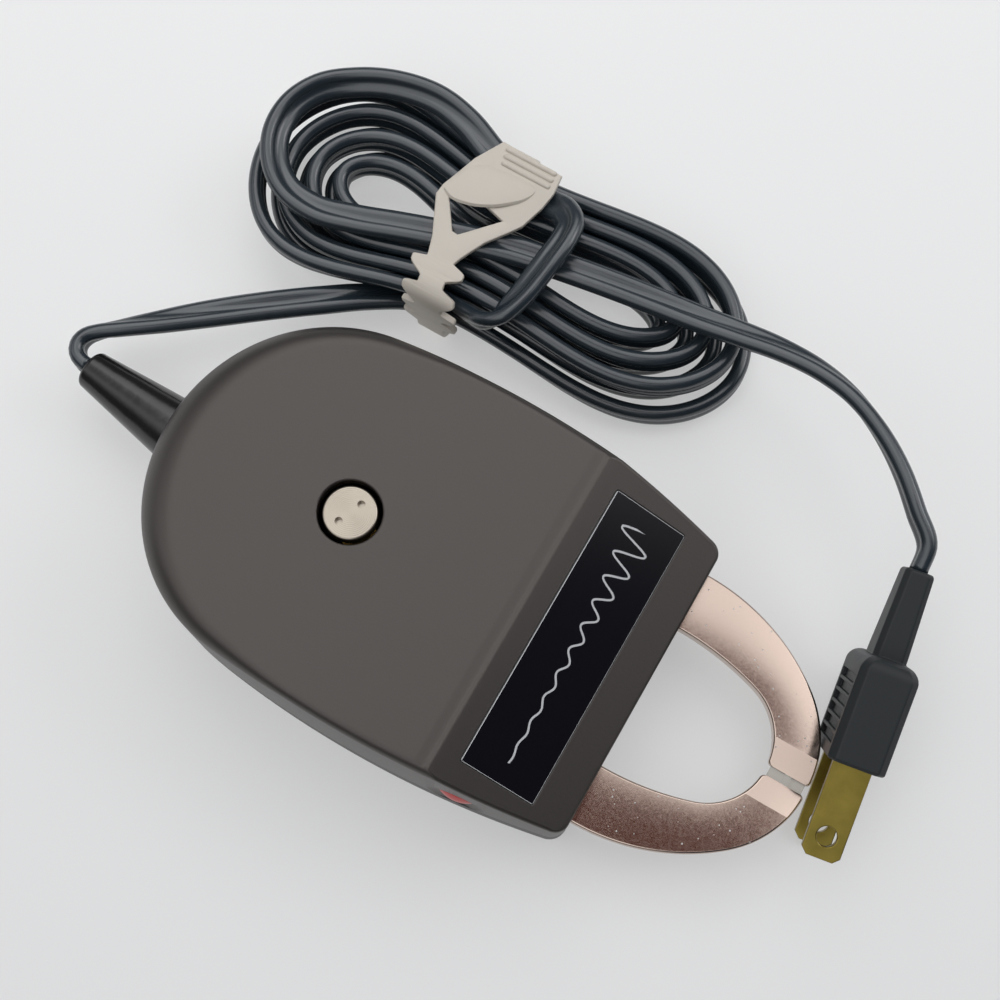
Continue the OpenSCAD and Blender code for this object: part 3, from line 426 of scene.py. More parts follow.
turns = np.arange(0, 2 * layer_turns + 1e-6, 1 / samples_per_turn)
cord_route = through(np.concatenate([lead_in_route, hank(turns), lead_out_route]), 0.8)
cord_middle = cord_route[:, :3]
cord_dir = unit(np.gradient(cord_middle, axis=0))
cord_dir[0] = unit(np.array(relief_point(2)) - np.array(relief_point(1)))
cord_dir[-1] = -plug_axis
cord_roll = np.radians(cord_route[:, 3:])
cord_side = unit(np.cross(cord_dir, [0, 0, 1]))
cord_width = np.cos(cord_roll) * np.cross(cord_side, cord_dir) + np.sin(cord_roll) * cord_side
cord_rings = sweep(cord_middle, cord_width, np.cross(cord_dir, cord_width), twin_section())
cord = tube("mains_cord", cord_rings)
place(cord, grained("cord_pvc", (38, 48, 55), 0.12, 0.24, 420, 0.00002, dust=0.1, cells=330, gloss=0.95),
      "cord_pvc", "case", "cord_lead_in", "cord_hank", "cord_lead_out")


# Upper and lower shell: two moulded halves of dark warm grey plastic, grained by the mould
# and matt, that meet at a fine parting line. The roof is flat behind a straight crease and
# slopes down to the front as the label panel.
body_h = 28
wall = 2.2
panel_len = 22.5
panel_fall = 0.4
slope = math.atan(panel_fall)
crease_x = x_front - panel_len
crease_round = 0.9
crease_start = crease_x - crease_round * math.tan(slope / 2)
dip_len = 2.6
bead_len = 0.7
dip_deep = 0.1
side_r = 180
side_mid = np.array([-0.0635, -149])
rear_r = 29.8
corner_r = 3
corner_mid = np.array([x_front - corner_r, 24.207])
side_round = 1.5
rear_round_from = -8
rear_round_gain = 0.0515
side_lean = 1.0
lean_fade = 40
edge_round = 0.6
inner_round = 0.3
rim_round = 0.25
face_margin = 0.4
least_r = 0.3
base_r = 2.4
base_edge_round = 0.5
screw_x = -14.112
screw_top = 27.7
screw_head_r = 4.45
screw_head_h = 2.2
screw_bore_r = 5.2
bore_lip = 0.35
bore_gap = 0.07
label_from_crease = 3.8
label_l = 13.6
label_w = 48.94
label_corner = 0.3
label_deep = 1.0
button_at = np.array([21.873, -29.6583, 15.1])
button_turn = math.radians(7)
button_in = np.array([-math.sin(button_turn), math.cos(button_turn), 0])
button_r = 3
dish_ball_r = 18.5
dish_deep = 1
arm_in, arm_out = 12.8705, 23.1705
arm_half_t = 1.5
shank_mid = (arm_in + arm_out) / 2
slot_gap = 0.12
relief_neck_r = 3.5
panel_x = np.array([math.cos(slope), 0, -math.sin(slope)])
panel_out = np.array([math.sin(slope), 0, math.cos(slope)])
panel_at = np.array([crease_x, 0, body_h])
case_grey = (28, 25, 23)
lower_grey = (26, 24, 22)


def case_outline(inset):
    """Plan of the case drawn in by inset, anticlockwise from the middle of the front: a corner arc,
    the long side arc, the rear arc, then their mirror image. Gives points and outward normals,
    and the numbers of the columns where the crease begins and ends on the +Y side."""
    def side_angle(x):
        return math.acos((x - side_mid[0]) / (side_r - side_round - face_margin))
    rear_mid = np.array([x_rear + rear_r, 0])
    corner_end = math.atan2(corner_mid[1] - side_mid[1], corner_mid[0] - side_mid[0])
    rear_start = math.atan2(-side_mid[1], rear_mid[0] - side_mid[0])
    crease_front = side_angle(crease_start + crease_round * math.sin(slope))
    crease_mid = side_angle(crease_start)
    crease_back = side_angle(crease_start - dip_len)
    corner = np.linspace(0, corner_end, 13)
    panel, bend, dip, flank, rear = [np.linspace(start, end, steps + 1)[1:] for start, end, steps in (
        (corner_end, crease_front, 25), (crease_front, crease_mid, 6), (crease_mid, crease_back, 14),
        (crease_back, rear_start, 26), (rear_start, np.pi, 35))]
    side = np.concatenate([panel, bend, dip, flank])
    ahead = len(corner) + 1
    front = len(corner) + len(panel)
    angle = np.concatenate([[0], corner, side, rear])
    middle = np.concatenate([[[x_front - corner_r, 0]], np.tile(corner_mid, (len(corner), 1)),
                             np.tile(side_mid, (len(side), 1)), np.tile(rear_mid, (len(rear), 1))])
    radius = np.concatenate([np.full(ahead, max(least_r, corner_r - inset)),
                             np.full(len(side), side_r - inset), np.full(len(rear), rear_r - inset)])
    middle[:ahead, 0] += min(0, corner_r - inset - least_r)
    out = np.stack([np.cos(angle), np.sin(angle)], -1)
    half = middle + radius[:, None] * out
    flip = np.array([1, -1])
    return (np.concatenate([half, half[-2:0:-1] * flip]), np.concatenate([out, out[-2:0:-1] * flip]),
            front, front + len(bend) + len(dip))


def roof(x, inset):
    """Height of the roof above the parting line and its fall: flat, a shallow dip with a smooth step
    down and up again, an arc at the crease, a slope."""
    start = crease_start - inset * math.tan(slope / 2)
    u = np.clip(x - start, 0, crease_round * math.sin(slope))
    root = np.sqrt(crease_round ** 2 - u ** 2)
    past = np.maximum(0, x - start - crease_round * math.sin(slope))
    down = np.clip((x - start + dip_len) / (dip_len - bead_len), 0, 1)
    back_up = np.clip((x - start + bead_len) / bead_len, 0, 1)
    dip = dip_deep * down ** 2 * (3 - 2 * down) * (1 - back_up ** 2 * (3 - 2 * back_up))
    return body_h - inset - part_z - crease_round + root - panel_fall * past - dip, -u / root


def roof_round(x):
    """Radius of the roof's edge at a place along the case: small on the sides, growing with the
    power 1.25 of the way to the rear."""
    return side_round + rear_round_gain * np.maximum(0, rear_round_from - x) ** 1.25


def base_round(x):
    """Radius of the base's edge, the same everywhere."""
    return np.full_like(x, base_r)


def floor(x, inset):
    """Depth of the base below the parting line, the same everywhere, with no fall."""
    return np.full_like(x, part_z - inset), np.zeros_like(x)


def case_skin(inset, round_at, edge_r, end_face, upward, rim):
    """Rings over one half of the case, from the parting line to its end face. The points of a column
    lie in the upright plane through one outline point: a wall, an arc of the radius given there, and
    an arc of radius edge_r where the end face lies lower and cuts the first one off. The side walls
    of the upper half lean in by a share of the height."""
    at, out, _, _ = case_outline(inset)
    round_r = np.maximum(edge_r + 0.2, round_at(at[:, 0]) - inset)
    wall_top = end_face(np.array([-1000.0]), inset)[0][0] - round_r
    within = round_r - edge_r
    deep = round_r
    for _ in range(4):
        height, fall = end_face(at[:, 0] - out[:, 0] * deep, inset)
        rise = -out[:, 0] * fall
        tilt = np.sqrt(1 + rise ** 2)
        base = height - rise * deep
        share = (base + rise * round_r - edge_r * tilt - wall_top) / (within * tilt)
        turn = np.maximum(0, np.arcsin(np.clip(share, -1, 1)) - np.arctan(rise))
        middle_d = round_r - within * np.cos(turn)
        middle_h = np.where(turn > 0, wall_top + within * np.sin(turn), base + rise * edge_r - edge_r * tilt)
        last = np.pi / 2 - np.arctan(rise)
        deep = middle_d - edge_r * np.cos(last)
    angle = np.linspace(0, 1, 17)[:, None] * last
    big = angle < turn
    d = np.where(big, round_r * (1 - np.cos(angle)), middle_d - edge_r * np.cos(angle))
    h = np.where(big, wall_top + round_r * np.sin(angle), middle_h + edge_r * np.sin(angle))
    lean = side_lean * out[:, 1] ** 2 * np.clip(1 - (rear_round_from - at[:, 0]) / lean_fade, 0, 1)
    lean = lean * max(0, upward) / (body_h - part_z)
    if rim:
        lip = np.linspace(np.pi / 2, 0, 8)[:, None] + np.zeros(len(at))
        d = np.concatenate([rim * (1 - np.cos(lip)), d, d[-1:] + face_margin])
        h = np.concatenate([rim * (1 - np.sin(lip)), h, h[-1:]])
    else:
        d, h = [np.concatenate([np.zeros((1, len(at))), rows]) for rows in (d, h)]
    d = d + lean * h
    level = slice(-2 if rim else -1, None)
    h[level] = end_face(at[:, 0] - out[:, 0] * d[level], inset)[0]
    return np.stack([at[:, 0] - out[:, 0] * d, at[:, 1] - out[:, 1] * d, part_z + upward * h], -1)


def shell(name, outer, inner, creased):
    """A closed shell from its outer and inner skin: the skins, the face at the parting line between
    them, and the end faces. A creased end has a flat roof, strips across the crease and a panel."""
    rows, count = outer.shape[:2]
    rows_in = inner.shape[0]
    first = rows * count
    faces = grid_faces(rows, count)
    faces += (np.array(grid_faces(rows_in, count)) + first).tolist()
    ring = np.arange(count)
    after = (ring + 1) % count
    faces += np.stack([ring, after, after + first, ring + first], -1).tolist()
    _, _, front, back = case_outline(0)
    for top in ((rows - 1) * count, first + (rows_in - 1) * count):
        if creased:
            j = np.arange(front, back)
            faces += (np.stack([j, j + 1, count - j - 1, count - j], -1) + top).tolist()
            faces.append((np.arange(back, count - back + 1) + top).tolist())
            panel = np.concatenate([np.arange(count - front, count), np.arange(front + 1)])
            faces.append((panel + top).tolist())
        else:
            faces.append((ring + top).tolist())
    return put_mesh(name, np.concatenate([outer.reshape(-1, 3), inner.reshape(-1, 3)]), faces)


def turned(profile, middle, axis, sides=72):
    """Rings of a turned form: rows of radius and distance along the axis, spun round the axis."""
    axis = unit(np.asarray(axis, float))
    first = unit(np.cross(axis, [0.0, 1.0, 0.0] if abs(axis[1]) < 0.9 else [1.0, 0.0, 0.0]))
    angle = np.linspace(0, 2 * np.pi, sides, endpoint=False)[:, None]
    spoke = np.cos(angle) * first + np.sin(angle) * np.cross(axis, first)
    profile = np.asarray(profile, float)
    return np.asarray(middle, float) + profile[:, None, 1:] * axis + profile[:, None, :1] * spoke


def block(low, high, middle, axes):
    """Rings of a plain block between two corners, in a frame of three axes."""
    low, high = np.asarray(low, float), np.asarray(high, float)
    corner = np.array([[0, 0], [1, 0], [1, 1], [0, 1]])
    flat = low[:2] + corner * (high - low)[:2]
    points = np.concatenate([np.pad(flat, ((0, 0), (0, 1)), constant_values=z) for z in (low[2], high[2])])
    return (np.asarray(middle, float) + points @ np.asarray(axes, float)).reshape(2, 4, 3)


def rounded_plan(half_x, half_y, corner, steps=6):
    """Outline of a rounded rectangle about its middle, anticlockwise. Half sizes given as columns
    give one outline for each row."""
    turn = np.radians(np.concatenate([np.linspace(90 * k, 90 * k + 90, steps) for k in range(4)]))
    return np.stack([np.repeat([1, -1, -1, 1], steps) * (half_x - corner) + corner * np.cos(turn),
                     np.repeat([1, 1, -1, -1], steps) * (half_y - corner) + corner * np.sin(turn)], -1)


def sharpen(piece, degrees):
    """Marks the edges that turn by more than an angle as hard, and shades the rest smooth."""
    piece.data.polygons.foreach_set("use_smooth", np.ones(len(piece.data.polygons), bool))
    piece.data.set_sharp_from_angle(angle=math.radians(degrees))


def cut(piece, cutters, degrees=16, overlaps=False):
    """Takes the cutters' solids out of a piece, whose own parts may overlap, and marks its hard edges."""
    for cutter in cutters:
        step = piece.modifiers.new(cutter.name, "BOOLEAN")
        step.operation = "DIFFERENCE"
        step.solver = "EXACT"
        step.use_self = overlaps
        step.object = cutter
    bpy.context.view_layer.update()
    graph = bpy.context.evaluated_depsgraph_get()
    mesh = bpy.data.meshes.new_from_object(piece.evaluated_get(graph))
    piece.modifiers.clear()
    before = piece.data
    piece.data = mesh
    bpy.data.meshes.remove(before)
    for cutter in cutters:
        bpy.data.objects.remove(cutter)
    sharpen(piece, degrees)


def bore(name, r, start, end, middle, axis, sides=72):
    """A plain round cutter that runs between two distances along an axis."""
    return tube(name, turned([[r, start], [r, end]], middle, axis, sides))


def wall_cutters():
    """The openings that both shells share: two slots for the arms and the strain relief's hole."""
    half_w, half_t = (arm_out - arm_in) / 2 + slot_gap, arm_half_t + slot_gap
    slots = [tube("arm_slot", block([-wall - 1, y - half_w, -half_t], [1, y + half_w, half_t],
                                    [x_front, 0, part_z], np.eye(3))) for y in (shank_mid, -shank_mid)]
    return slots + [bore("relief_hole", relief_neck_r + bore_gap, -1, wall + 1, [x_rear, 0, part_z],
                         [1, 0, 0])]


def plate_rings(rows):
    """Rings of the label's outline on the panel, from rows of its growth and its height there."""
    return np.stack([
        label_mid + rounded_plan(label_l / 2 + grow, label_w / 2 + grow, label_corner + grow)
        @ np.array([panel_x, [0, 1, 0]]) + panel_out * high for grow, high in rows])


lip_turn = np.radians(np.linspace(180, 100, 9))
lip = np.stack([bore_lip + bore_lip * np.cos(lip_turn), -bore_lip + bore_lip * np.sin(lip_turn)], -1)
upper = shell("upper_shell_skin", case_skin(0, roof_round, edge_round, roof, 1, rim_round),
              case_skin(wall, roof_round, inner_round, roof, 1, 0), True)
bore_profile = [[screw_bore_r, screw_top - screw_head_h], *(lip + [screw_bore_r, body_h]),
                [screw_bore_r + 0.6, body_h + 0.1], [screw_bore_r + 0.6, body_h + 2]]
label_mid = panel_at + panel_x * (label_from_crease + label_l / 2)
pocket = plate_rings([[slot_gap, -label_deep], [slot_gap, -0.15], [slot_gap + 0.04, -0.05],
                      [slot_gap + 0.14, 0.005], [slot_gap + 0.14, 1]])
ball_turn = np.radians(np.linspace(2, 178, 90))
ball = np.stack([dish_ball_r * np.sin(ball_turn), -dish_ball_r * np.cos(ball_turn)], -1)
cut(upper, wall_cutters() + [
    tube("screw_bore", turned(bore_profile, [screw_x, 0, 0], [0, 0, 1], 96)),
    bore("screw_hole", 2.25, 9, 27, [screw_x, 0, 0], [0, 0, 1], 48),
    tube("label_pocket", pocket),
    tube("button_dish", turned(ball, button_at + button_in * (dish_deep - dish_ball_r), button_in, 160)),
    bore("button_bore", button_r + bore_gap, -2, wall + 2, button_at, button_in)])
case_plastic = grained("case", case_grey, 0.12, 0.42, 2600, 0.000012, dust=0.08, gloss=0.75)
case_shader = case_plastic.node_tree.nodes["Principled BSDF"]
case_shader.inputs["IOR"].default_value = 1.6
case_shader.inputs["Specular Tint"].default_value = (1.0, 0.93, 0.88, 1)
place(upper, case_plastic, "case", "case", "upper_shell")
lower = shell("lower_shell_skin", case_skin(0, base_round, base_edge_round, floor, -1, rim_round),
              case_skin(wall, base_round, inner_round, floor, -1, 0), False)
cut(lower, wall_cutters())
place(lower, grained("lower_case", lower_grey, 0.12, 0.48, 2600, 0.000012, dust=0.05, gloss=0.8),
      "lower_case", "case", "lower_shell")


# Case screw: an aluminium screw with a spun head that sits in its bore a little below the
# roof. Fine turning rings run round the face, and two blind holes take a pin spanner.
pin_hole_r = 0.65
pin_hole_out = 2.2
pin_hole_turn = math.radians(67)
head_round = 0.45
thread_r = 1.95
screw_low = 5.5
ring_pitch = 0.3
ring_r = np.linspace(0.02, screw_head_r - head_round, 128)
ring_top = screw_top - 0.05 + 0.006 * np.sin(2 * np.pi * ring_r / ring_pitch) - 0.004 * ring_r
round_off = np.radians(np.linspace(90, 0, 8))
head_edge = np.stack([screw_head_r - head_round + head_round * np.cos(round_off),
                      ring_top[-1] - head_round + head_round * np.sin(round_off)], -1)
screw_profile = np.concatenate([
    [[0.02, screw_low], [thread_r, screw_low], [thread_r, screw_top - screw_head_h],
     [screw_head_r, screw_top - screw_head_h]], head_edge[::-1], np.stack([ring_r, ring_top], -1)[::-1]])
screw = tube("case_screw_spun", turned(screw_profile, [screw_x, 0, 0], [0, 0, 1], 96))
pin_dir = np.array([math.cos(pin_hole_turn), math.sin(pin_hole_turn), 0]) * pin_hole_out
cut(screw, [bore("pin_hole", pin_hole_r, -1.2, 1, [screw_x, 0, screw_top] + side * pin_dir, [0, 0, 1], 40)
            for side in (-1, 1)], 30)
place(screw, grained("spun_aluminium", (170, 162, 149), 0.08, 0.3, 900, 0.000004, dust=0.1, metallic=1,
                     cells=700), "spun_aluminium", "case", "case_screw")


# Label plate: a thin glossy black plate let into the panel, with a painted highlight along its edge
# where its bevel catches the light. Its print is only a wave that dies away, which is what the tool does to
# a field.
label_black = (9, 9, 15)
print_and_highlight_colour = (196, 198, 200)
wave_len = 4.2
wave_high = 3.4
wave_fade = 14.0
wave_w = 0.34
wave_half = 21.0
# Width of the painted highlight along the plate's edge, in the print's pale colour.
edge_highlight_w = 0.1
label = tube("label_plate_face", plate_rings([[0, -label_deep], [0, 0.02], [-0.025, 0.07], [-0.09, 0.1]]))
sharpen(label, 15)
spots = np.zeros(len(label.data.vertices) * 3)
label.data.vertices.foreach_get("co", spots)
spots = spots.reshape(-1, 3) / mm - label_mid
corner_of = np.zeros(len(label.data.loops), int)
label.data.loops.foreach_get("vertex_index", corner_of)
flat_uv = np.stack([spots @ panel_x, spots[:, 1]], -1)[corner_of]
label.data.uv_layers.new(name="plate").data.foreach_set("uv", flat_uv.ravel())
print_black, shader, label_tree = new_material("label_black")


def sum_up(operation, *values):
    """One step of arithmetic in the label's material."""
    return arithmetic(label_tree, operation, *values)


plate_uv = label_tree.nodes.new("ShaderNodeUVMap")
plate_uv.uv_map = "plate"
parts = label_tree.nodes.new("ShaderNodeSeparateXYZ")
label_tree.links.new(plate_uv.outputs["UV"], parts.inputs[0])
down, along = parts.outputs[0], parts.outputs[1]
wave_turn = 2 * math.pi / wave_len
fade = sum_up("EXPONENT", sum_up("DIVIDE", sum_up("SUBTRACT", along, wave_half), wave_fade))
phase = sum_up("MULTIPLY", along, wave_turn)
crest = sum_up("MULTIPLY", sum_up("MULTIPLY", sum_up("SINE", phase), fade), wave_high)
steep = sum_up("MULTIPLY", sum_up("MULTIPLY", sum_up("COSINE", phase), fade), wave_high * wave_turn)
spread = sum_up("SQRT", sum_up("MULTIPLY_ADD", steep, steep, 1.0))
off_line = sum_up("DIVIDE", sum_up("ABSOLUTE", sum_up("SUBTRACT", down, crest)), spread)
inside = sum_up("LESS_THAN", sum_up("ABSOLUTE", along), wave_half)
wave_mask = sum_up("MULTIPLY", sum_up("LESS_THAN", off_line, wave_w / 2), inside)
edge_gap = sum_up("MINIMUM", sum_up("SUBTRACT", label_l / 2, sum_up("ABSOLUTE", down)),
                  sum_up("SUBTRACT", label_w / 2, sum_up("ABSOLUTE", along)))
# The pale colour goes on the printed wave and on the painted highlight along the plate's edge.
print_and_highlight_mask = sum_up("MAXIMUM", wave_mask, sum_up("LESS_THAN", edge_gap, edge_highlight_w))
ink_and_highlight = mixed(label_tree, print_and_highlight_mask, linear(*label_black), linear(*print_and_highlight_colour))
label_tree.links.new(ink_and_highlight, shader.inputs["Base Color"])
shader.inputs["Roughness"].default_value = 0.14
shader.inputs["Coat Weight"].default_value = 0.3
place(label, print_black, "label_black", "case", "label_plate")


# Pole arms: two flat arms of plated steel bent to an oval loop, held to the coil's core by
# screws inside. Their ends are ground to thin slopes that leave the working gap.
pole_reach = 30.6
tip_w = 7.6
tip_gap = 1.7
tip_from = 5.25
tip_thin = 0.7
loop_out_flat = 4.2
loop_in_flat = 1.9
tip_corner = 0.7
shank_end = -1.612
yoke_x = 3.388
line_count = 64


def oval_line(reach, half, flat, y_end, count):
    """Front half of an oval above its axis: a long arc that leaves the case squarely and runs
    tangent into a round end, cut off at a height and shared out evenly by length."""
    end_r = half - flat
    end_x = reach - end_r
    long_r = (end_x ** 2 + half ** 2 - end_r ** 2) / (2 * (half - end_r))
    meet = math.atan2(long_r - half, end_x)
    a = np.linspace(np.pi / 2, meet, 600)
    b = np.linspace(meet, math.asin(y_end / end_r), 600)[1:]
    line = np.concatenate([np.stack([long_r * np.cos(a), half - long_r + long_r * np.sin(a)], -1),
                           np.stack([end_x + end_r * np.cos(b), end_r * np.sin(b)], -1)])
    along = lengths(line)
    where = np.linspace(0, along[-1], count)
    return np.stack([np.interp(where, along, line[:, 0]), np.interp(where, along, line[:, 1])], -1)


def rounded_rings(middle, across, up, half_w, half_h, corner, steps):
    """Rings of a rounded rectangle along a line of middles; its half sizes may change on the way."""
    plan = rounded_plan(half_w[:, None], half_h[:, None], corner, steps)
    return middle[:, None] + plan[..., :1] * across[:, None] + plan[..., 1:] * up[:, None]


def end_line(reach, half, flat, y):
    """Points of the oval's round end at given heights above its axis."""
    end_r = half - flat
    return np.stack([reach - end_r + np.sqrt(end_r ** 2 - y ** 2), y], -1)


def arm_edge(reach, half, flat, ease):
    """One edge of an arm in plan: its straight shank in the case, the oval and the sloping tip."""
    return np.concatenate([shank + [0, half + ease], oval_line(reach, half, flat, tip_from, line_count),
                           end_line(reach, half, flat, tip_y)])


close = np.radians(np.linspace(0, 80, 7))
tip_y = np.concatenate([np.linspace(tip_from, tip_gap / 2 + tip_corner, 7)[1:-1],
                        tip_gap / 2 + tip_corner * (1 - np.sin(close))])
shank = np.array([[shank_end - x_front, 0], [-0.4, 0]])
outer_line = arm_edge(pole_reach, arm_out, loop_out_flat, -0.1)
inner_line = arm_edge(pole_reach - tip_w, arm_in, loop_in_flat, 0.1)
arm_count = len(outer_line)
tip_loss = (tip_from - tip_y) / (tip_from - tip_gap / 2) * (arm_half_t - tip_thin)
arm_half_h = arm_half_t - np.pad(tip_loss, (arm_count - len(tip_y), 0))
arm_half_w = (np.sqrt(((outer_line - inner_line) ** 2).sum(1)) / 2
              - np.pad(tip_corner * (1 - np.cos(close)), (arm_count - len(close), 0)))
arm_across = np.pad(unit(outer_line - inner_line), ((0, 0), (0, 1)))
arm_middle = np.pad((outer_line + inner_line) / 2, ((0, 0), (0, 1))) + [x_front, 0, part_z]
arm_up = np.tile([0.0, 0.0, 1.0], (arm_count, 1))
arm_rings = rounded_rings(arm_middle, arm_across, arm_up, arm_half_w, arm_half_h, 0.42, 14)
pole_steel = grained("pole_steel", (193, 175, 163), 0.08, 0.16, 3000, 0.0000016, dust=0.3, metallic=1,
                     cells=1100, speck=0.16)
for side, name in ((1, "pole_arm_left"), (-1, "pole_arm_right")):
    arm = tube(name + "_bent", arm_rings[:, ::side] * [1, side, 1])
    cut(arm, [bore("pole_screw_hole", 1.5, -3, 3, [yoke_x, side * shank_mid, part_z], [0, 0, 1], 40)], 8.5)
    place(arm, pole_steel, "pole_steel", "case", name)


# Gap spacer: a small moulded piece of clear plastic that keeps the tips apart, with a rib across
# it. It is glued in between them.
def dress(name, material):
    """Puts a material on one of the construction's own nodes."""
    nodes[name].data.materials.clear()
    nodes[name].data.materials.append(material)


clear = grained("clear_plastic", (226, 222, 214), 0.04, 0.2, 500, 0.000004)
clear.node_tree.nodes["Principled BSDF"].inputs["Transmission Weight"].default_value = 0.55
dress("gap_spacer", clear)


# Core, coil and switch inside the case: stamped steel sheets, a nylon bobbin wound with copper
# wire under tape, and a brown moulded switch with brass parts, joined by thin wires.
zinc = grained("zinc_steel", (176, 178, 176), 0.08, 0.35, 700, 0.000006, metallic=1)
brass = grained("brass", (196, 158, 84), 0.1, 0.3, 700, 0.000006, metallic=1)
nylon = grained("natural_nylon", (222, 214, 196), 0.06, 0.5, 500, 0.00001)
tinned = grained("tinned_metal", (200, 200, 196), 0.1, 0.32, 800, 0.000006, metallic=1)
for name, material in (
        ("screw_insert", brass), ("contact_bridge", brass), ("pole_screws", zinc), ("button_spring", zinc),
        ("clamp_screws", zinc), ("coil_bobbin", nylon), ("cord_clamp", nylon), ("switch_terminals", tinned),
        ("crimp_sleeve", tinned),
        ("core_laminations", grained("core_steel", (112, 112, 116), 0.2, 0.42, 1200, 0.00001, metallic=1)),
        ("coil_winding", grained("copper_wire", (176, 92, 52), 0.16, 0.32, 1500, 0.00002, metallic=1)),
        ("coil_wrap", grained("coil_tape", (214, 178, 92), 0.1, 0.4, 900, 0.00001)),
        ("switch_block", grained("brown_plastic", (72, 44, 30), 0.12, 0.42, 900, 0.00001)),
        ("mains_wires", grained("wire_black", (30, 30, 32), 0.1, 0.42, 900, 0.00001)),
        ("coil_leads", grained("wire_red", (160, 36, 30), 0.1, 0.42, 900, 0.00001))):
    dress(name, material)


# Push button: a red moulded button in a shallow dish on the side, with a collar that stops it
# behind the wall and a stem that carries the contact bridge.
button_crown = 0.12
crown_curve = 0.09
button_edge = 0.3
edge_back = 1.1
collar_and_stem = [[button_r, 2.32], [3.9, 2.32], [3.9, 3.32], [1.5, 3.32], [1.5, 9.72], [0.8, 9.72],
                   [0.8, 10.62], [0.05, 10.62]]
crown_r = np.linspace(0.05, button_r - button_edge, 16)
crown = np.stack([crown_r, -button_crown + crown_curve * crown_r ** 2], -1)
edge_turn = np.radians(np.linspace(45, 90, 6))
button_profile = np.concatenate([
    crown, np.stack([button_r - button_edge + button_edge * np.sin(edge_turn),
                     edge_back - button_edge * np.cos(edge_turn)], -1), collar_and_stem])
button = tube("push_button_moulded", turned(button_profile, button_at, button_in))
sharpen(button, 30)
place(button, grained("red_plastic", (196, 30, 24), 0.08, 0.3, 700, 0.000006), "red_plastic", "button",
      "push_button")


# Strain relief: a black rubber taper moulded on the cord, glossy from handling, with a neck
# through the rear wall and a flange behind it.
relief_r = 5.8
relief_tip_r = 3.45
flange_r = 5.5
flange_t = 1.5
neck_len_in = wall + 0.9


def soft_ends(start, end, start_r, end_r, start_round, end_round, rows):
    """Profile of a taper between two distances with rounded edges at both ends."""
    a = np.radians(np.linspace(0, 90, 9))
    first = np.stack([start_r - start_round + start_round * np.sin(a),
                      start + start_round * (1 - np.cos(a))], -1)
    last = np.stack([end_r - end_round + end_round * np.cos(a), end - end_round + end_round * np.sin(a)], -1)
    share = np.linspace(0, 1, rows)[1:-1, None]
    between = first[-1:] * (1 - share) + last[:1] * share
    return np.concatenate([[[0.05, start]], first, between, last, [[0.05, end]]])


relief_axis = np.array([-math.cos(relief_lean), math.sin(relief_lean), 0])
rear_at = [x_rear, 0, part_z]
relief = solid("strain_relief_rubber", [
    turned(soft_ends(0.3, relief_len, relief_r, relief_tip_r, 0.3, 0.9, 16), rear_at, relief_axis),
    turned([[0.05, -1.5], [relief_neck_r, -1.5], [relief_neck_r, neck_len_in], [0.05, neck_len_in]],
           rear_at, [1, 0, 0]),
    turned([[0.05, 0], [flange_r, 0], [flange_r, flange_t], [0.05, flange_t]],
           [x_rear + neck_len_in, 0, part_z], [1, 0, 0])])
sharpen(relief, 35)
place(relief, grained("relief_rubber", (18, 17, 18), 0.1, 0.2, 160, 0.00012, dust=0.06, gloss=0.65),
      "relief_rubber", "case", "strain_relief")


# Cord tie: a moulded ivory strap round the hank's waist, toothed along both edges, with a flat
# head that has a three-cornered window and a grip end. Its tongue lies over the window.
tie_low_y, tie_high_y = 39.65, 73.15
tie_low_z, tie_high_z = 0.65, 17.45
tie_bend = 3.75
tie_far_bend = 8
tie_half_t = 0.55
tie_top = tie_high_z + tie_half_t
strap_x = np.array([[-90, -26.7, -21.3], [-14, -26.7, -21.3], [-5.5, -26.9, -21.4], [-0.5, -27.5, -22.9],
                    [3.8, -28.4, -23.4], [7, -29.3, -22.4]])
left_teeth = [1.7, -2.9, -7.3, -11.7]
right_teeth = [2.4, -2.4, -6.6, -10.6]
tooth_high = 2.5
tooth_ahead, tooth_behind = 1.4, 2.3
slope_ahead, slope_behind = 1.0, 2.0
head_outline = np.array([
    [-28.1, 46], [-28.4, 47.1], [-29.3, 49.9], [-32.7, 56.9], [-32.5, 59], [-31.4, 62.2], [-30.2, 65.9],
    [-27.4, 71], [-15.5, 70.4], [-15.1, 66.7], [-15.5, 63.5], [-16.8, 58.9], [-18.2, 56.8], [-20.8, 53.2],
    [-22.2, 50.3], [-23.5, 47.4], [-23.6, 46]])
window_outline = np.array([[-30.2, 57.2], [-26.7, 52.3], [-25.6, 52.2], [-20.2, 58.1], [-24.5, 59.2],
                           [-28.4, 59.4]])
window_mid = np.array([-25.5, 56.2])
tongue_edge = np.array([[-31.9, 58.4], [-30.1, 57.6], [-26.7, 57.9], [-23.6, 59.2], [-20.8, 61.3],
                        [-18.4, 64.2], [-18, 65.4]])
tongue_root = np.array([[-31.3, 62.2], [-30.4, 64], [-28, 65.6], [-25, 66.2], [-22, 66.5], [-19.6, 66.5],
                        [-18.4, 66.2]])
tongue_lift = 1.5
tongue_t = 0.8
grip_y = [70, 68.7, 67.4]
strap_count = 760
tongue_count = 60
ivory = (208, 201, 189)


def star(outline, middle, angle):
    """Distance from a middle to a closed outline in each direction: the nearest crossing of a ray
    with the outline's straight edges."""
    a = outline - middle
    b = np.roll(a, -1, axis=0)
    ray = np.stack([np.cos(angle), np.sin(angle)], -1)
    edge = b - a
    along = ray[:, :1] * edge[:, 1] - ray[:, 1:] * edge[:, 0]
    along = np.where(np.abs(along) < 1e-12, 1e-12, along)
    far = (a[:, 0] * edge[:, 1] - a[:, 1] * edge[:, 0]) / along
    share = (a[:, 0] * ray[:, 1:] - a[:, 1] * ray[:, :1]) / along
    good = (share >= -1e-9) & (share <= 1 + 1e-9) & (far > 0)
    return np.where(good, far, np.inf).min(1)


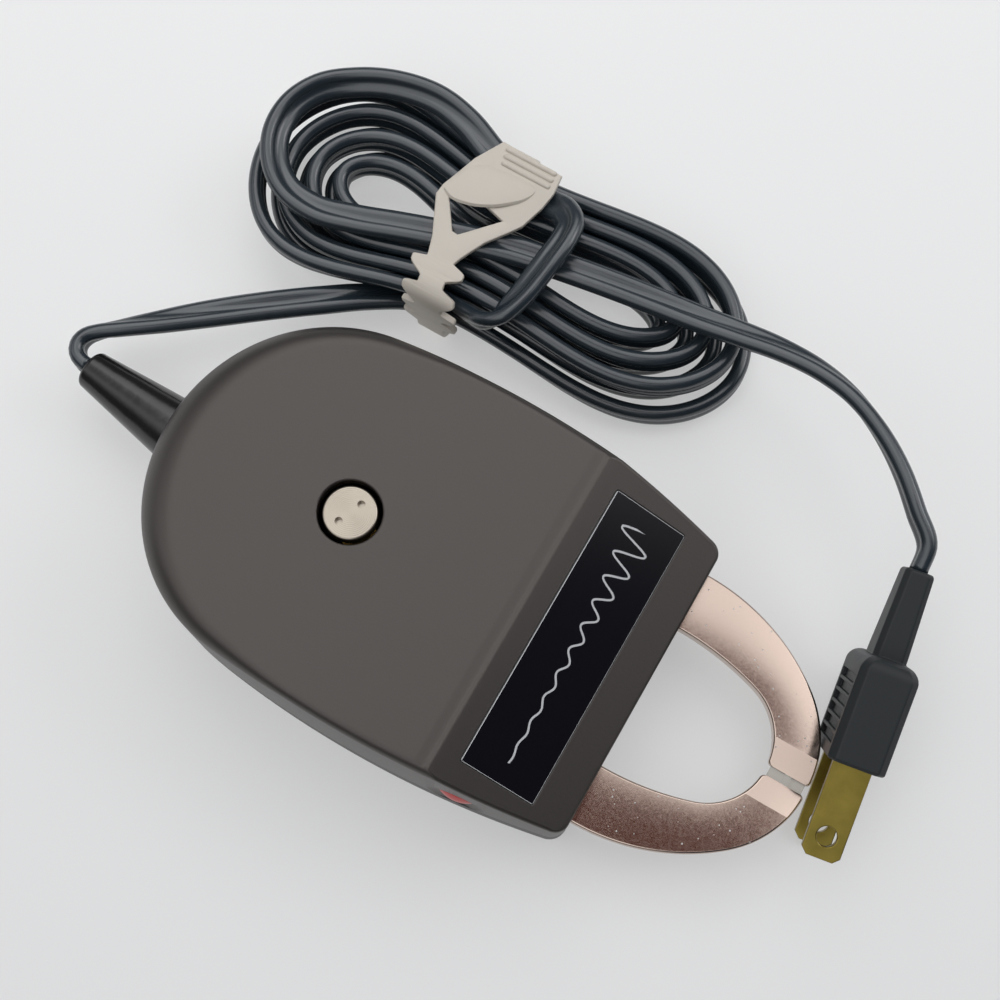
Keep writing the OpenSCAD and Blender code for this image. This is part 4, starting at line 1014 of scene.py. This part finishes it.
def framed_plate(outer, inner, middle, low, high, soft):
    """Rings round a flat plate with a window: each is the plate's section on one ray from the
    window's middle, with softened corners. The rays pass through every corner of both outlines."""
    corners = np.concatenate([outer, inner]) - middle
    angle = np.unique(np.round(np.concatenate([np.arctan2(corners[:, 1], corners[:, 0]),
                                               np.linspace(-np.pi, np.pi, 180, endpoint=False)]), 4))
    angle = angle[np.concatenate([[True], np.diff(angle) > 0.004])]
    far, near = star(outer, middle, angle), star(inner, middle, angle)
    bend = np.radians(np.linspace(0, 90, 5))
    round_in, round_up = soft * (1 - np.cos(bend)), soft * np.sin(bend)
    reach = np.concatenate([-round_in, -round_in[::-1]])
    rise = np.concatenate([high - soft + round_up, (low + soft - round_up)[::-1]])
    order = np.concatenate([np.arange(5, 10), np.arange(5)])
    r = np.concatenate([far[:, None] + reach[order], near[:, None] - reach[order][::-1]], 1)
    z = np.tile(np.concatenate([rise[order], rise[order][::-1]]), (len(angle), 1))
    return np.stack([middle[0] + r * np.cos(angle)[:, None], middle[1] + r * np.sin(angle)[:, None], z], -1)


def resample(line, count):
    """Points shared out evenly by length along a bent line, smoothed by a Hermite curve."""
    curve = through(np.pad(line, ((0, 0), (0, 1))), 0.05)[:, :2]
    return curve[np.linspace(0, len(curve) - 1, count).astype(int)]


def tooth(s, centres):
    """Height of the strap's teeth at a distance along it: short slope, round tip, longer slope."""
    q = s[:, None] - np.array(centres)
    rise = np.clip(np.minimum((tooth_ahead - q) / slope_ahead, (q + tooth_behind) / slope_behind), 0, 1)
    return (tooth_high * np.sin(np.pi / 2 * rise) ** 1.5).sum(1)


bend_turn = np.linspace(0, np.pi / 2, 16)
bend_count = len(bend_turn)
tie_line = np.concatenate([
    [y - sy * r, z - sz * r] + r * np.stack([np.cos(bend_turn + turn), np.sin(bend_turn + turn)], -1)
    for turn, y, z, sy, sz, r in ((0, tie_high_y, tie_high_z, 1, 1, tie_far_bend),
                                  (np.pi / 2, tie_low_y, tie_high_z, -1, 1, tie_bend),
                                  (np.pi, tie_low_y, tie_low_z, -1, -1, tie_bend),
                                  (3 * np.pi / 2, tie_high_y, tie_low_z, 1, -1, tie_bend))])
tie_line = np.concatenate([tie_line, tie_line])
tie_along = lengths(tie_line)
top_start, front_end = tie_along[bend_count - 1:bend_count + 1]
tie_where = np.linspace(front_end - 5.6, tie_along[4 * bend_count] + top_start - 0.6, strap_count)
tie_yz = np.stack([np.interp(tie_where, tie_along, tie_line[:, k]) for k in (0, 1)], -1)
tie_s = front_end - tie_where
tie_left = np.interp(tie_s, strap_x[:, 0], strap_x[:, 1]) - tooth(tie_s, left_teeth)
tie_right = np.interp(tie_s, strap_x[:, 0], strap_x[:, 2]) + tooth(tie_s, right_teeth)
tie_dir = unit(np.gradient(tie_yz, axis=0))
tie_out = np.pad(np.stack([tie_dir[:, 1], -tie_dir[:, 0]], -1), ((0, 0), (1, 0)))
tie_middle = np.stack([(tie_left + tie_right) / 2, tie_yz[:, 0], tie_yz[:, 1]], -1)
strap_rings = rounded_rings(tie_middle, np.tile([1.0, 0, 0], (strap_count, 1)), tie_out,
                            (tie_right - tie_left) / 2, np.full(strap_count, tie_half_t), 0.3, 5)
head_rings = framed_plate(head_outline, window_outline, window_mid, tie_top - 1.1, tie_top - 0.01, 0.3)
edge_line, root_line = resample(tongue_edge, tongue_count), resample(tongue_root, tongue_count)
v = np.linspace(0, 1, 14)[:, None]
end_fade = np.sin(np.pi * np.linspace(0.06, 0.995, tongue_count)) ** 0.6
tongue_top = edge_line[:, None] * (1 - v) + root_line[:, None] * v
tongue_z = tie_top - 0.05 + tongue_lift * end_fade[:, None] * ((1 - v) ** 0.8 * (0.55 + 0.9 * v))[:, 0]
upper_side = np.concatenate([tongue_top, tongue_z[..., None]], -1)
under_side = upper_side - [0, 0, tongue_t]
lip_dir = np.pad(unit(edge_line - root_line), ((0, 0), (0, 1)))[:, None]
lip_out = (upper_side[:, :1] + under_side[:, :1]) / 2 + lip_dir * 0.35
tongue_rings = np.concatenate([lip_out, upper_side, under_side[:, ::-1]], 1)
grips = [turned(soft_ends(-26.4 + 0.3 * k, -16.4 + 0.1 * k, 0.5, 0.5, 0.4, 0.4, 3),
                [0, y, tie_top - 0.12], [1, 0, 0], 20) for k, y in enumerate(grip_y)]
tie = solid("cord_tie_strap", [strap_rings, tongue_rings, *grips], [head_rings])
sharpen(tie, 20)
place(tie, grained("tie_ivory", ivory, 0.06, 0.45, 300, 0.00002), "tie_ivory", "case", "cord_tie")


# Plug: a black moulded two-blade plug with bevelled edges, grip grooves, a rounded shoulder and a
# flat neck on the cord, and two brass blades with a hole near the tip.
plug_half_t = 4.7
plug_half_h = 11
plug_y = np.array([-math.sin(plug_yaw), math.cos(plug_yaw), 0])
plug_z = np.cross(plug_axis, plug_y)
plug_axes = np.array([plug_axis, plug_y, plug_z])
groove_from = 2.2
groove_w = 1.4
groove_pitch = 2
groove_deep = 0.8
groove_half = 8.4
shoulder = np.radians(np.linspace(0, 90, 8))
shoulder_r = 2.4
body_l = np.concatenate([[blade_len, blade_len + 0.4],
                         blade_len + plug_len - shoulder_r + shoulder_r * np.sin(shoulder)])
body_in = np.concatenate([[0.4, 0], shoulder_r * (1 - np.cos(shoulder))])
neck_l = np.array([blade_len + plug_len - 1, blade_len + plug_len + 1, plug_end - 0.4, plug_end])


def along_plug(l):
    """Middles on the plug's axis and its two cross axes, one row for each distance from the tips."""
    rows = (len(l), 1)
    return plug_tip + np.asarray(l)[:, None] * plug_axis, np.tile(plug_y, rows), np.tile(plug_z, rows)


plug = solid("plug_moulded", [
    rounded_rings(*along_plug(body_l), plug_half_t - body_in, plug_half_h - body_in, 1.2, 2),
    rounded_rings(*along_plug(neck_l), np.array([2.8, 2.8, 2.4, 2.1]), np.array([4.8, 4.8, 3.7, 3.4]),
                  0.9, 2)])
groove_starts = [blade_len + groove_from + groove_pitch * k for k in range(6)]
cut(plug, [tube("grip_groove", block([start, side * plug_half_t - groove_deep, -groove_half],
                                     [start + groove_w, side * plug_half_t + groove_deep, groove_half],
                                     plug_tip, plug_axes)) for side in (1, -1) for start in groove_starts],
    60, overlaps=True)
soften = plug.modifiers.new("soften", "BEVEL")
soften.width = 0.25 * mm
soften.segments = 3
soften.harden_normals = True
soften.limit_method = "ANGLE"
soften.angle_limit = math.radians(30)
sharpen(plug, 60)
place(plug, grained("plug_pvc", (40, 44, 46), 0.12, 0.5, 700, 0.00001, dust=0.16, gloss=0.3),
      "plug_pvc", "case", "plug_body")
blade_in = 5
blade_half_w = 3.175
blade_half_t = 0.75
blade_pitch = 12.7
blade_hole = np.array([3.7, 0.0])
blade_hole_r = 1.65
blade_plan = np.array([[0, -2.175], [1, -blade_half_w], [blade_len + blade_in, -blade_half_w],
                       [blade_len + blade_in, blade_half_w], [1, blade_half_w], [0, 2.175]])
hole_turn = np.linspace(0, 2 * np.pi, 48, endpoint=False)[:, None]
hole_plan = blade_hole + blade_hole_r * np.concatenate([np.cos(hole_turn), np.sin(hole_turn)], 1)
blade_flat = framed_plate(blade_plan, hole_plan, blade_hole, -blade_half_t, blade_half_t, 0.18)
blades = solid("plug_blades_punched", [], [
    plug_tip + (blade_flat + [0, 0, side * blade_pitch / 2]) @ plug_axes for side in (1, -1)])
sharpen(blades, 8)
place(blades, grained("blade_brass", (140, 125, 60), 0.8, 0.3, 260, 0.00001, metallic=1), "blade_brass",
      "case", "plug_blades")
